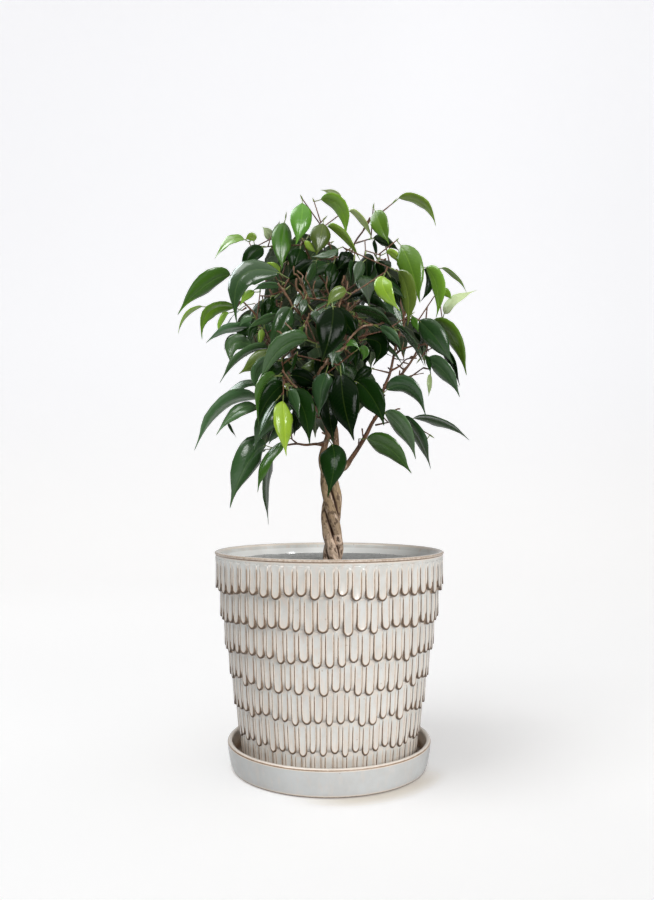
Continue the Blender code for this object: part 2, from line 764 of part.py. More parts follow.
def tube(path, radii, sides):
    """Closed tube along a path, its rings carried without twist."""
    points = []
    rings = []
    tangent = (path[1] - path[0]).normalized()
    across = tangent.orthogonal().normalized()
    for i, centre in enumerate(path):
        ahead = path[min(i + 1, len(path) - 1)]
        behind = path[max(i - 1, 0)]
        tangent = (ahead - behind).normalized()
        across = (across - tangent * across.dot(tangent)).normalized()
        other = tangent.cross(across)
        ring = []
        for k in range(sides):
            angle = 2.0 * math.pi * k / sides
            points.append(centre + (across * math.cos(angle) + other * math.sin(angle)) * radii[i])
            ring.append(len(points) - 1)
        rings.append(ring)
    faces = [tuple(reversed(rings[0])), tuple(rings[-1])]
    for first, second in zip(rings, rings[1:]):
        faces += ring_strip(first, second)
    return Shell(points, faces)


def tapered(count, thick, thin):
    """Radii from thick to thin over a path's points."""
    return [thick + (thin - thick) * i / (count - 1) for i in range(count)]


def braid_strand(index):
    """Path of one strand from the foot of its hole to the top of the braid."""
    path = []
    foot = STEM_HOLE_FLOOR + GAP + STRAND_HEEL
    for i in range(BRAID_RINGS):
        level = foot + (BRAID_TOP - foot) * i / (BRAID_RINGS - 1)
        angle = math.radians(-30.0 - 120.0 * index)
        angle -= 2.0 * math.pi * (level - BRAID_PHASE_LEVEL) / BRAID_PITCH
        path.append(trunk_axis(level) + around(BRAID_RADIUS, angle, 0.0))
    return [path[0] - UP * STRAND_HEEL, *path]


STRAND_ORDER = {"stem_centre": 0, "stem_left": 1, "stem_right": 2}


def limb_routes():
    """Every stem's smooth paths with their radii: first the main one, then its limbs."""
    routes = {}
    for stem, route in MAIN_ROUTES.items():
        strand = braid_strand(STRAND_ORDER[stem])
        crown = [on_sight_line(a, d, f * MM) for a, d, f in route]
        path = strand + smooth_path([strand[-1], *crown], PATH_STEP)[1:]
        above = len(path) - len(strand)
        radii = tapered(len(strand), STRAND_RADIUS, STRAND_TOP_RADIUS)
        radii += tapered(above + 1, STRAND_TOP_RADIUS, LEADER_TIP_RADIUS)[1:]
        routes[stem] = [(path, radii)]
    for limb in LIMBS:
        path = smooth_path([on_sight_line(a, d, f * MM) for a, d, f in limb.route], PATH_STEP)
        routes[limb.stem].append((path, tapered(len(path), limb.thick * MM, limb.thin * MM)))
    return routes


def limb_tube(order, path, radii):
    """The body of a stem's main path, which comes first, or of one of its thinner limbs."""
    return tube(path, radii, STEM_SIDES if order == 0 else LIMB_SIDES)


def make_stems(routes):
    """One node for each plant: its strand of the braid with the limbs that grow from it."""
    bark = finish("bark", (0.36, 0.26, 0.19), 0.8)
    for stem, paths in routes.items():
        shells = [limb_tube(order, path, radii) for order, (path, radii) in enumerate(paths)]
        fuse(stem, shells, bark)


# Leaves


def crown_front(x, z):
    """How far forward the crown's surface lies at a place."""
    across = (x - CROWN_CENTRE.x) / CROWN_SIZE.x
    rise = (z - CROWN_CENTRE.z) / CROWN_SIZE.z
    return CROWN_SIZE.y * math.sqrt(max(0.04, 1.0 - across * across - rise * rise))


def drawn_blade(drawn, push, swing):
    """Stand a chart leaf up in space, pushed forward and swung about its midrib."""
    middle = on_sight_line(*drawn.bend, 0.0)
    forward = drawn.layer * crown_front(middle.x, middle.z) + push
    base = on_sight_line(*drawn.base, forward)
    tip = on_sight_line(*drawn.tip, forward)
    length = (tip - base).length
    base = on_sight_line(*drawn.base, forward - LEAF_ARCH * length)
    bend = on_sight_line(*drawn.bend, forward + LEAF_ARCH * length)
    seen = drawn.seen * STEP * (1.0 + forward / EYE.y)
    width = max(LEAF_WIDTH_RATIO * length, seen * 1.02)
    roll = drawn.turn * math.acos(min(1.0, max(0.1, seen / width))) + swing
    facing = (EYE - bend).normalized()
    return Blade(base, bend, tip, facing, width, roll, drawn.tone, drawn.face)


def midrib(blade, t):
    """Point on the midrib, and its direction."""
    control = blade.bend * 2.0 - (blade.base + blade.tip) * 0.5
    point = blade.base * (1 - t) ** 2 + control * 2 * t * (1 - t) + blade.tip * t * t
    along = (control - blade.base) * (1 - t) + (blade.tip - control) * t
    return point, along.normalized()


def blade_frame(blade, t):
    """Midrib point with the blade's side and upper directions there."""
    point, along = midrib(blade, t)
    side = along.cross(blade.facing).normalized()
    upper = side.cross(along).normalized()
    turned_side = side * math.cos(blade.roll) + upper * math.sin(blade.roll)
    turned_upper = upper * math.cos(blade.roll) - side * math.sin(blade.roll)
    return point, turned_side, turned_upper * blade.face.value


def petiole_root(blade):
    """Where the leaf's stalk leaves its twig."""
    start, along = midrib(blade, 0.0)
    length = max(PETIOLE_SHORTEST, PETIOLE_RATIO * (blade.tip - blade.base).length)
    if blade.width < NARROW_LEAF:
        length *= 0.5
    return start - (along * 0.8 + UP * 0.2).normalized() * length


def stalk_points(blade, twig):
    """Centres of the twig's rings up to the stalk; one that would hardly bend is left out."""
    start = midrib(blade, 0.0)[0]
    root = petiole_root(blade)
    straight = (root - twig).normalized().dot((start - root).normalized()) > STRAIGHT
    return [twig] if straight else [twig, root]


def blade_shell(blade, grow, twig=None, foot=TWIG_RADIUS):
    """Closed thin leaf with its stalk and the twig that carries it; grow adds clearance all round."""
    start, heading = midrib(blade, 0.0)
    root = petiole_root(blade)
    side, upper = blade_frame(blade, 0.0)[1:]
    stalk = stalk_points(blade, twig) if twig else [root - (start - root).normalized() * 0.0006]
    line = [*stalk, start]
    points = []
    for i in reversed(range(len(stalk))):
        ahead = (line[i + 1] - line[i]).normalized()
        behind = (line[i] - line[i - 1]).normalized() if i else ahead
        turn = heading.rotation_difference(ahead + behind)
        heading = (ahead + behind).normalized()
        side = turn @ side
        upper = turn @ upper
        radius = (foot if twig and i == 0 else PETIOLE_RADIUS) + grow
        points = [line[i] + direction * radius for direction in (side, upper, -side, -upper)] + points
    rings = len(stalk)
    for t, share in LEAF_RINGS:
        point, side, upper = blade_frame(blade, t)
        half = max(blade.width * share, PETIOLE_RADIUS) + grow
        rise = upper * (LEAF_FOLD * blade.width * share)
        thick = LEAF_THICKNESS * 0.5 + grow
        points += [
            point + side * half + rise,
            point + upper * thick,
            point - side * half + rise,
            point - upper * thick,
        ]
        rings += 1
    last, heading = midrib(blade, 1.0)
    points.append(last + heading * grow)
    faces = [(0, 1, 2), (0, 2, 3)]
    for ring in range(rings - 1):
        near, far = ring * 4, ring * 4 + 4
        for edge, middle in ((0, 1), (2, 1), (0, 3), (2, 3)):
            faces.append((near + edge, near + middle, far + middle))
            faces.append((near + edge, far + middle, far + edge))
    end = (rings - 1) * 4
    for edge, middle in ((0, 1), (2, 1), (0, 3), (2, 3)):
        faces.append((end + edge, end + middle, len(points) - 1))
    return Shell(points, faces)


def rule_blade(draw, place, depth):
    """A leaf that covers a chart place at a depth, turned away from the crown's axis and hanging."""
    middle = on_sight_line(*place, 0.0)
    middle = on_sight_line(*place, depth * crown_front(middle.x, middle.z))
    heading = Vector((middle.x - CROWN_CENTRE.x, middle.y - CROWN_CENTRE.y, 0.0)) / CROWN_SIZE.y
    heading += Vector((draw.uniform(-0.5, 0.5), draw.uniform(-0.5, 0.5), 0.0))
    heading = heading.normalized() + UP * draw.uniform(-0.5, 0.1)
    length = draw.uniform(*RULE_LENGTHS)
    along = (heading - UP * draw.uniform(0.45, 1.1)).normalized() * length
    lift = (heading * 0.4 + UP).normalized() * length * 0.11
    facing = (heading * 0.7 + UP).normalized()
    tone = draw.choice((Tone.DEEP, Tone.DEEP, Tone.FRESH, Tone.BLUE, Tone.OLIVE))
    base = middle - along * 0.5
    tip = middle + along * 0.5
    width = LEAF_WIDTH_RATIO * length
    return Blade(base, middle + lift, tip, facing, width, draw.uniform(-0.6, 0.6), tone, Face.TOP)


def on_plate(point):
    """Chart place at which a point is seen."""
    plate = EYE + (point - EYE) * (EYE.y / (EYE.y - point.y))
    return (plate.x - PLATE_LEFT) / STEP, (PLATE_TOP - plate.z) / STEP


def inside(ring, across, down):
    """Whether a chart place falls inside a ring of chart places."""
    within = False
    for (x0, y0), (x1, y1) in zip(ring, ring[1:] + ring[:1]):
        if (y0 > down) != (y1 > down) and across < x0 + (down - y0) * (x1 - x0) / (y1 - y0):
            within = not within
    return within


def cells_in(ring):
    """The plate's square cells whose middles fall inside a ring of chart places."""
    columns, rows = ([int(place[k] / CELL) for place in ring] for k in range(2))
    return {
        (i, j)
        for i in range(min(columns), max(columns) + 1)
        for j in range(min(rows), max(rows) + 1)
        if inside(ring, (i + 0.5) * CELL, (j + 0.5) * CELL)
    }


def seen_ring(blade):
    """A leaf's outline on the plate."""
    near = [midrib(blade, 0.0)[0]]
    far = [midrib(blade, 1.0)[0]]
    for t, share in LEAF_RINGS[1:]:
        point, side, _ = blade_frame(blade, t)
        near.append(point + side * blade.width * share)
        far.append(point - side * blade.width * share)
    return [on_plate(point) for point in (*near, far[0], far[2], far[1])]


class Crown:
    """Places leaves one by one, each clear of all before it, and grows twigs to carry them."""

    def __init__(self, routes):
        self.placed = []
        self.anchors = []
        self.sprays = []
        self.covered = set()
        for paths in routes.values():
            for order, (path, radii) in enumerate(paths):
                self.keep(limb_tube(order, path, radii))
                self.add_buds(path, radii)

    def keep(self, shell):
        """Remember a body for the clearance tests."""
        low = Vector([min(p[k] for p in shell.points) for k in range(3)])
        high = Vector([max(p[k] for p in shell.points) for k in range(3)])
        self.placed.append(Placed(BVHTree.FromPolygons(shell.points, shell.faces), low, high))

    def clear(self, shell):
        """Whether a body touches nothing placed so far."""
        low = Vector([min(p[k] for p in shell.points) for k in range(3)])
        high = Vector([max(p[k] for p in shell.points) for k in range(3)])
        tree = BVHTree.FromPolygons(shell.points, shell.faces)
        for other in self.placed:
            if any(low[k] > other.high[k] or high[k] < other.low[k] for k in range(3)):
                continue
            if tree.overlap(other.tree):
                return False
        return True

    def add_buds(self, path, radii):
        """Anchors along the part of a limb that lies in the crown."""
        travelled = BUD_SPACING
        for i in range(1, len(path)):
            travelled += (path[i] - path[i - 1]).length
            if path[i].z > BRAID_TOP + 0.016 and travelled >= BUD_SPACING or i == len(path) - 1:
                along = (path[i] - path[i - 1]).normalized()
                self.anchors.append(Anchor(path[i].copy(), along, radii[i], -1))
                travelled = 0.0

    def free(self, anchor):
        """Whether one more twig can start from an anchor."""
        if anchor.spray < 0:
            return len(self.sprays) < MAX_SPRAYS
        return anchor.used < FORKS_AT_END and len(self.sprays[anchor.spray]) < SPRAY_LEAVES

    def twig_start(self, anchor, target):
        """Where a twig towards target leaves an anchor."""
        if anchor.spray >= 0:
            return anchor.point - anchor.along * (FORK_STEP * anchor.used)
        aim = (target - anchor.point).normalized()
        lean = aim.dot(anchor.along)
        out = (aim - anchor.along * lean).normalized()
        return anchor.point + out * (anchor.radius + GAP + TWIG_RADIUS * abs(lean))

    def place(self, blade):
        """Add a leaf with the shortest free twig that reaches it."""
        if not self.clear(blade_shell(blade, CLEARANCE)):
            return False
        root = petiole_root(blade)
        choices = []
        for number, anchor in enumerate(self.anchors):
            reach = (root - self.twig_start(anchor, root)).length
            if self.free(anchor) and TWIG_RADIUS < reach < TWIG_REACH:
                choices.append((reach + (NEW_SPRAY_COST if anchor.spray < 0 else 0.0), number))
        for _, number in sorted(choices)[:TWIG_CHOICES]:
            anchor = self.anchors[number]
            forked = anchor.spray >= 0
            start = self.twig_start(anchor, root)
            span = root - start
            skipped = min(FORK_HIDDEN / span.length, 0.45) if forked else 0.0
            thick = TWIG_RADIUS + (FORK_CLEARANCE if forked else 0.0)
            if not self.clear(tube([start + span * skipped, root - span * 0.05], [thick] * 2, 4)):
                continue
            if forked:
                spray = anchor.spray
                anchor.used += 1
            else:
                spray = len(self.sprays)
                self.sprays.append([])
                self.anchors.pop(number)
            foot = TWIG_RADIUS * (FORK_RATIO if forked else 1.0)
            body = blade_shell(blade, 0.0, start, foot)
            self.sprays[spray].append((blade, body))
            self.keep(body)
            self.covered |= cells_in(seen_ring(blade))
            bend = [*stalk_points(blade, start), midrib(blade, 0.0)[0]][1]
            setback = min(FORK_SETBACK, 0.35 * span.length)
            fork = start + (bend - start).normalized() * (span.length - setback)
            self.anchors.append(Anchor(fork, span.normalized(), TWIG_RADIUS, spray))
            return True
        return False


def grow_crown(routes):
    """The whole crown: the drawn leaves first, from the limbs outwards, then those of the rule."""
    crown = Crown(routes)
    limb_points = [anchor.point for anchor in crown.anchors]

    def distance_to_limbs(drawn):
        root = petiole_root(drawn_blade(drawn, 0.0, 0.0))
        return min((root - point).length for point in limb_points)

    chart = TOP_LEAVES + RIGHT_LEAVES + MIDDLE_LEAVES + LEFT_LEAVES
    for drawn in sorted(chart, key=distance_to_limbs):
        poses = ((push, swing) for push in PUSHES for swing in SWINGS)
        any(crown.place(drawn_blade(drawn, push * MM, swing)) for push, swing in poses)
    fill_crown(crown)
    return crown.sprays


def fill_crown(crown):
    """Add the leaves of the rule inside the dense outline, each on what is still bare for a while."""
    dense = cells_in(DENSE_OUTLINE)
    draw = random.Random(RULE_SEED)
    added = 0
    for count in range(RULE_TRIES):
        if added >= RULE_LEAVES:
            break
        bare = sorted(dense - crown.covered)
        filling = count < FILL_TRIES
        cell = draw.choice(bare if filling and bare else sorted(dense))
        place = ((cell[0] + 0.5) * CELL, (cell[1] + 0.5) * CELL)
        blade = rule_blade(draw, place, draw.uniform(-1.0, 0.6 if filling else -0.2))
        cells = cells_in(seen_ring(blade))
        wanted = FILL_CELLS * (1.0 - count / FILL_TRIES)
        if cells <= dense and len(cells - crown.covered) >= wanted and crown.place(blade):
            added += 1


def main_tone(blades):
    """The tone that covers most of a spray."""
    areas = {}
    for blade in blades:
        areas[blade.tone] = areas.get(blade.tone, 0.0) + blade.width * (blade.tip - blade.base).length
    return max(areas, key=areas.get)


def make_sprays(routes):
    """One node for each spray: its twigs and leaves fused together."""
    for number, leaves in enumerate(grow_crown(routes), start=1):
        tone = main_tone([blade for blade, _ in leaves])
        name = f"spray_{number:02d}"
        fuse(name, [body for _, body in leaves], finish(f"{name}_leaf", tone.value, 0.4))


build_part()
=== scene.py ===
"""Dressed scene of a potted weeping fig: braided stems, glossy leaves, shingled pot and saucer.

Metres, +Z up. The origin is the middle of the saucer's underside, and -Y is the front.
"""

import logging
import math
import random
from collections.abc import Callable, Sequence
from dataclasses import dataclass, field, replace
from enum import Enum

import bpy
import numpy as np
from mathutils import Matrix, Vector, noise
from mathutils.bvhtree import BVHTree


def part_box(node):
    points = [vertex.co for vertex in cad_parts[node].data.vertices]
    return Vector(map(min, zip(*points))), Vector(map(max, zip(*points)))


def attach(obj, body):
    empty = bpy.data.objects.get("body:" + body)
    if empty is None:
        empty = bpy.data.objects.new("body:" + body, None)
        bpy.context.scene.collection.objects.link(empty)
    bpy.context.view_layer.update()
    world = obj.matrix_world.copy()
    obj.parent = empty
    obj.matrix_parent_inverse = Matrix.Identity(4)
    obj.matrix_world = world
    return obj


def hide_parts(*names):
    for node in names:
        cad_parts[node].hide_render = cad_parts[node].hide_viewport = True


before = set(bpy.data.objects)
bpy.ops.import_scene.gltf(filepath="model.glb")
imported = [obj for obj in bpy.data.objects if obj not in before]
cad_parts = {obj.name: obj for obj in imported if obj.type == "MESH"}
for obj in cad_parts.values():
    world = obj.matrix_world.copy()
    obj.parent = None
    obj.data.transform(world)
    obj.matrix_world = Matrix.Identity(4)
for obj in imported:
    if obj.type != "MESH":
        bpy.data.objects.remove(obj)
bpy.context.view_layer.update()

LOG = logging.getLogger("weeping_fig")
MM = 0.001
UP = Vector((0.0, 0.0, 1.0))
GAP = 0.0003
TAU = 2.0 * math.pi

Colour = tuple[float, float, float]
Place = tuple[float, float]
Ring = list[Place]
Socket = bpy.types.NodeSocket
Source = Socket | float | tuple
Rows = np.ndarray | list


# Node sheets and shared node groups


class NodeSheet:
    """Short ways of writing a node tree."""

    def __init__(self, tree: bpy.types.NodeTree) -> None:
        """Keep the tree that nodes are added to."""
        self.tree = tree

    def feed(self, socket: Socket, source: Source) -> None:
        """Link a socket, or set its constant.

        Args:
            socket: Input to fill.
            source: Output socket, number or tuple.
        """
        if isinstance(source, bpy.types.NodeSocket):
            self.tree.links.new(source, socket)
        elif isinstance(source, tuple) and socket.type == "RGBA":
            socket.default_value = (*source[:3], 1.0)
        else:
            socket.default_value = source

    def node(self, kind: str, inputs: dict[str | int, Source] | None = None, **settings: object) -> bpy.types.Node:
        """Add a node.

        Args:
            kind: Node type without its "ShaderNode" prefix.
            inputs: Sources by input name or number.
            settings: Properties of the node.

        Returns:
            The new node.
        """
        made = self.tree.nodes.new(f"ShaderNode{kind}")
        for key, value in settings.items():
            setattr(made, key, value)
        for key, source in (inputs or {}).items():
            self.feed(made.inputs[key], source)
        return made

    def maths(self, operation: str, *sources: Source, clamp: bool = False) -> Socket:
        """Result of a Math node, held between 0 and 1 if clamped."""
        return self.node("Math", dict(enumerate(sources)), operation=operation, use_clamp=clamp).outputs[0]

    def times(self, first: Source, second: Source) -> Socket:
        """Product of two values."""
        return self.maths("MULTIPLY", first, second)

    def plus(self, first: Source, second: Source) -> Socket:
        """Sum of two values."""
        return self.maths("ADD", first, second)

    def blend(self, share: Source, first: Source, second: Source, mode: str = "MIX") -> Socket:
        """Two colours mixed, with the share of the second."""
        inputs = {0: share, 6: first, 7: second}
        return self.node("Mix", inputs, data_type="RGBA", blend_type=mode, clamp_factor=True).outputs[2]

    def span(self, value: Source, low: float, high: float, start: float = 0.0, end: float = 1.0) -> Socket:
        """A value mapped smoothly from the range low to high on to the range start to end."""
        inputs = {0: value, 1: low, 2: high, 3: start, 4: end}
        return self.node("MapRange", inputs, interpolation_type="SMOOTHSTEP").outputs[0]

    def noise(self, vector: Source, scale: Source, detail: float = 3.0, rough: float = 0.55) -> Socket:
        """Value of a noise texture with so many octaves of such roughness."""
        inputs = {"Vector": vector, "Scale": scale, "Detail": detail, "Roughness": rough}
        return self.node("TexNoise", inputs).outputs[0]

    def stretch(self, vector: Source, scale: tuple) -> Socket:
        """Coordinates scaled by three factors."""
        return self.node("Mapping", {"Vector": vector, "Scale": scale}).outputs[0]

    def attribute(self, name: str, output: str = "Fac") -> Socket:
        """Value, colour or vector of a mesh attribute."""
        return self.node("Attribute", attribute_name=name).outputs[output]

    def object_space(self) -> Socket:
        """Object coordinates."""
        return self.node("TexCoord").outputs["Object"]

    def camera_ray(self) -> Socket:
        """One for what the camera sees itself, zero for light and reflections."""
        return self.node("LightPath").outputs["Is Camera Ray"]

    def bump(self, height: Source, strength: float, distance: float) -> Socket:
        """Normal bent by a height, which is so many metres at 1.0."""
        inputs = {"Strength": strength, "Distance": distance, "Height": height}
        return self.node("Bump", inputs).outputs[0]


class Surface(NodeSheet):
    """Node sheet of a new material."""

    def __init__(self, name: str) -> None:
        """Start a material of that name."""
        self.material = bpy.data.materials.new(name)
        self.material.use_nodes = True
        super().__init__(self.material.node_tree)

    def finish(self, inputs: dict[str, Source]) -> bpy.types.Material:
        """Feed the Principled shader.

        Args:
            inputs: Sources by input name.

        Returns:
            The finished material.
        """
        shader = self.tree.nodes["Principled BSDF"]
        for label, source in inputs.items():
            self.feed(shader.inputs[label], source)
        return self.material


@dataclass
class SharedGroup:
    """A shader node group that several finishes use."""

    name: str
    inputs: dict[str, str]
    outputs: tuple[str, ...]
    draw: Callable[[NodeSheet, dict[str, Socket]], tuple[Socket, ...]]
    tree: bpy.types.NodeTree | None = None

    def build(self) -> bpy.types.NodeTree:
        """Make the group once.

        Returns:
            The group's tree.
        """
        if self.tree is None:
            self.tree = bpy.data.node_groups.new(self.name, "ShaderNodeTree")
            for label, kind in self.inputs.items():
                self.tree.interface.new_socket(label, in_out="INPUT", socket_type=f"NodeSocket{kind}")
            for label in self.outputs:
                self.tree.interface.new_socket(label, in_out="OUTPUT", socket_type="NodeSocketFloat")
            entry = self.tree.nodes.new("NodeGroupInput")
            leave = self.tree.nodes.new("NodeGroupOutput")
            results = self.draw(NodeSheet(self.tree), {label: entry.outputs[label] for label in self.inputs})
            for label, source in zip(self.outputs, results):
                self.tree.links.new(source, leave.inputs[label])
        return self.tree

    def place(self, sheet: NodeSheet, **sources: Source) -> bpy.types.NodeOutputs:
        """Use the group in a material.

        Args:
            sheet: Material's node sheet.
            sources: Sources by input name.

        Returns:
            The group's outputs.
        """
        made = sheet.tree.nodes.new("ShaderNodeGroup")
        made.node_tree = self.build()
        for label, source in sources.items():
            sheet.feed(made.inputs[label], source)
        return made.outputs


def draw_mottle(sheet: NodeSheet, given: dict[str, Socket]) -> tuple[Socket, ...]:
    """Cloudy patches with softer and finer ones inside them.

    Args:
        sheet: Group's node sheet.
        given: Group inputs.

    Returns:
        The mask.
    """
    broad = sheet.noise(given["Vector"], given["Scale"], 4.0, 0.6)
    fine = sheet.noise(given["Vector"], sheet.times(given["Scale"], 5.3), 3.0, 0.6)
    both = sheet.plus(sheet.times(broad, 0.7), sheet.times(fine, 0.3))
    return (sheet.span(both, 0.34, 0.66),)


def draw_specks(sheet: NodeSheet, given: dict[str, Socket]) -> tuple[Socket, ...]:
    """Scattered small round spots of unequal size.

    Args:
        sheet: Group's node sheet.
        given: Group inputs.

    Returns:
        The mask.
    """
    cells = sheet.node("TexVoronoi", {"Vector": given["Vector"], "Scale": given["Scale"]})
    pick = sheet.node("SeparateColor", {0: cells.outputs["Color"]})
    reach = sheet.times(given["Size"], pick.outputs[1])
    near = sheet.maths("LESS_THAN", cells.outputs["Distance"], reach)
    chosen = sheet.maths("LESS_THAN", pick.outputs[0], given["Share"])
    return (sheet.times(near, chosen),)


def draw_leaf_marks(sheet: NodeSheet, given: dict[str, Socket]) -> tuple[Socket, ...]:
    """Midrib, fine side veins that arch towards the tip, and the leaf's margin.

    Args:
        sheet: Group's node sheet.
        given: Group inputs.

    Returns:
        Masks of rib, veins and margin.
    """
    strip, station, breadth = sheet.node("SeparateXYZ", {0: given["Blade"]}).outputs
    across = sheet.maths("ABSOLUTE", strip)
    away = sheet.times(across, breadth)
    taper = sheet.times(station, -0.05)
    rib = sheet.maths("ADD", sheet.span(away, 0.060, 0.014), taper, clamp=True)
    bow = sheet.times(sheet.maths("POWER", away, 1.5), 3.4)
    run = sheet.maths("SUBTRACT", sheet.times(station, 15.0), bow)
    run = sheet.plus(run, sheet.times(sheet.noise(given["Blade"], 5.0, 2.0), 0.7))
    veins = sheet.span(sheet.maths("PINGPONG", run, 0.5), 0.13, 0.0)
    veins = sheet.times(veins, sheet.span(across, 1.0, 0.7))
    return rib, veins, sheet.span(across, 0.93, 1.0)


MOTTLE = SharedGroup("mottle", {"Vector": "Vector", "Scale": "Float"}, ("Mask",), draw_mottle)
SPECKS = SharedGroup(
    "specks", {"Vector": "Vector", "Scale": "Float", "Size": "Float", "Share": "Float"}, ("Mask",), draw_specks
)
LEAF_MARKS = SharedGroup("leaf_marks", {"Blade": "Vector"}, ("Rib", "Veins", "Margin"), draw_leaf_marks)


# Finishes


@dataclass(frozen=True)
class Glaze:
    """Milky glaze that thins to brown clay where an edge is rubbed, as the wear attribute says; the same attribute also
    paints shade under the fingers' ends and in the saucer's channel, and below zero paints light on the pot's inside
    wall.
    """

    name: str
    milk: Colour = (0.72, 0.725, 0.70)
    cloud: Colour = (0.62, 0.605, 0.565)
    cream: Colour = (0.78, 0.700, 0.615)
    blush: Colour = (0.69, 0.60, 0.53)
    tan: Colour = (0.37, 0.258, 0.175)
    clay: Colour = (0.105, 0.068, 0.043)
    # Brighter white of the pot's inside wall: painted light
    inner: Colour = (0.86, 0.865, 0.845)
    roughness: float = 0.19
    mottle_scale: float = 22.0
    speck_share: float = 0.018
    blush_share: float = 0.70

    def material(self) -> bpy.types.Material:
        """Build the glaze.

        Returns:
            The finished material.
        """
        sheet = Surface(self.name)
        where = sheet.object_space()
        cloudy = MOTTLE.place(sheet, Vector=where, Scale=self.mottle_scale)["Mask"]
        body = sheet.blend(cloudy, self.milk, self.cloud)
        streaky = sheet.noise(sheet.stretch(where, (1.0, 1.0, 0.35)), 210.0, 3.0, 0.6)
        body = sheet.blend(sheet.span(streaky, 0.48, 0.70, 0.0, self.blush_share), body, self.blush)
        # The wear attribute carries glaze wear, painted shade and, below zero, painted light
        wear = sheet.attribute("wear")
        ragged = sheet.times(sheet.maths("SUBTRACT", sheet.noise(where, 420.0, 3.0, 0.6), 0.5), 0.40)
        worn_and_shaded = sheet.plus(wear, sheet.times(ragged, sheet.span(wear, 0.05, 0.4)))
        # Painted light: where the wear is below zero, on the pot's inside wall, the glaze turns the brighter inner
        # white
        body = sheet.blend(sheet.span(wear, -0.1, -0.4, 0.0, 0.85), body, self.inner)
        colour = sheet.blend(sheet.span(worn_and_shaded, 0.03, 0.27), body, self.cream)
        colour = sheet.blend(sheet.span(worn_and_shaded, 0.38, 0.66), colour, self.tan)
        colour = sheet.blend(sheet.span(worn_and_shaded, 0.70, 1.0), colour, self.clay)
        dots = SPECKS.place(sheet, Vector=where, Scale=330.0, Size=0.26, Share=self.speck_share)["Mask"]
        colour = sheet.blend(sheet.times(dots, 0.5), colour, self.tan)
        rough = sheet.span(worn_and_shaded, 0.1, 1.0, self.roughness, self.roughness + 0.28)
        orange_peel = sheet.noise(where, 260.0, 2.0, 0.5)
        broad = sheet.noise(where, 60.0, 2.0, 0.5)
        normal = sheet.bump(sheet.plus(sheet.times(orange_peel, 0.35), broad), 0.35, 0.0006)
        return sheet.finish({
            "Base Color": colour, "Roughness": rough, "Normal": normal, "Coat Roughness": 0.05, "Coat Weight": 0.45,
        })


@dataclass(frozen=True)
class Bark:
    """Fig bark: pinkish tan on old wood, red brown on young twigs, with olive patches, one dark knot and painted shade
    in the cracks between the strands.
    """

    name: str
    low: Colour = (0.80, 0.585, 0.455)
    old: Colour = (0.55, 0.380, 0.230)
    shade: Colour = (0.145, 0.090, 0.055)
    olive: Colour = (0.25, 0.205, 0.095)
    young: Colour = (0.175, 0.072, 0.030)
    cut: Colour = (0.56, 0.41, 0.28)
    bleached: Colour = (0.84, 0.645, 0.495)
    scar: Colour = (0.070, 0.031, 0.017)
    knot: tuple = (0.0080, -0.0080, 0.2160)

    def material(self) -> bpy.types.Material:
        """Build the bark from its grain, age and scar attributes; scar also carries painted shade in the cracks between
        the strands.

        Returns:
            The finished material.
        """
        sheet = Surface(self.name)
        grain = sheet.attribute("grain", "Vector")
        age = sheet.attribute("age")
        scar = sheet.attribute("scar")
        streaks = sheet.noise(sheet.stretch(grain, (1.0, 1.0, 0.16)), 620.0, 4.0, 0.65)
        blotch = MOTTLE.place(sheet, Vector=grain, Scale=95.0)["Mask"]
        moss = MOTTLE.place(sheet, Vector=sheet.stretch(grain, (1.3, 0.8, 0.5)), Scale=46.0)["Mask"]
        height = sheet.node("SeparateXYZ", {0: sheet.object_space()}).outputs[2]
        height = sheet.plus(height, sheet.times(sheet.noise(grain, 60.0, 2.0), 0.03))
        wood = sheet.blend(sheet.span(height, 0.222, 0.262), self.low, self.old)
        wood = sheet.blend(sheet.span(height, 0.285, 0.325, 0.0, 0.5), wood, self.young)
        wood = sheet.blend(sheet.span(streaks, 0.46, 0.72, 0.0, 0.85), wood, self.shade)
        wood = sheet.blend(sheet.times(blotch, 0.52), wood, self.shade)
        wood = sheet.blend(sheet.times(moss, 0.40), wood, self.olive)
        flecks = sheet.noise(sheet.stretch(grain, (1.0, 1.0, 0.55)), 300.0, 3.0)
        wood = sheet.blend(sheet.span(flecks, 0.52, 0.62, 0.0, 0.92), wood, self.shade)
        pale = sheet.noise(sheet.stretch(grain, (1.0, 1.0, 0.45)), 210.0, 3.0)
        wood = sheet.blend(sheet.span(pale, 0.54, 0.66, 0.0, 0.75), wood, self.bleached)
        twig = sheet.blend(sheet.span(streaks, 0.35, 0.7), self.young, self.scar)
        colour = sheet.blend(age, twig, wood)
        pores = SPECKS.place(sheet, Vector=sheet.stretch(grain, (1.0, 1.0, 1.8)), Scale=560.0, Size=0.36, Share=0.09)
        colour = sheet.blend(sheet.times(pores["Mask"], 0.45), colour, self.cut)
        # Painted shade in the cracks between strands, with the dark of the knots, from the scar attribute
        colour = sheet.blend(sheet.span(scar, 0.05, 0.45), colour, self.scar)
        colour = sheet.blend(sheet.span(scar, 1.2, 1.8), colour, self.cut)
        away = {0: sheet.object_space(), 1: self.knot}
        from_knot = sheet.node("VectorMath", away, operation="DISTANCE").outputs["Value"]
        from_knot = sheet.plus(from_knot, sheet.times(sheet.noise(grain, 330.0, 3.0), 0.0080))
        hole = sheet.span(from_knot, 0.0072, 0.0060)
        colour = sheet.blend(sheet.span(from_knot, 0.0110, 0.0084, 0.0, 0.85), colour, self.bleached)
        colour = sheet.blend(hole, colour, self.scar)
        rough = sheet.times(sheet.span(streaks, 0.3, 0.7, 0.62, 0.85), sheet.span(age, 0.0, 0.5, 0.66, 1.0))
        ridges = sheet.maths("SUBTRACT", sheet.plus(streaks, sheet.times(blotch, 0.5)), hole)
        return sheet.finish({"Base Color": colour, "Roughness": rough, "Normal": sheet.bump(ridges, 0.9, 0.0010)})


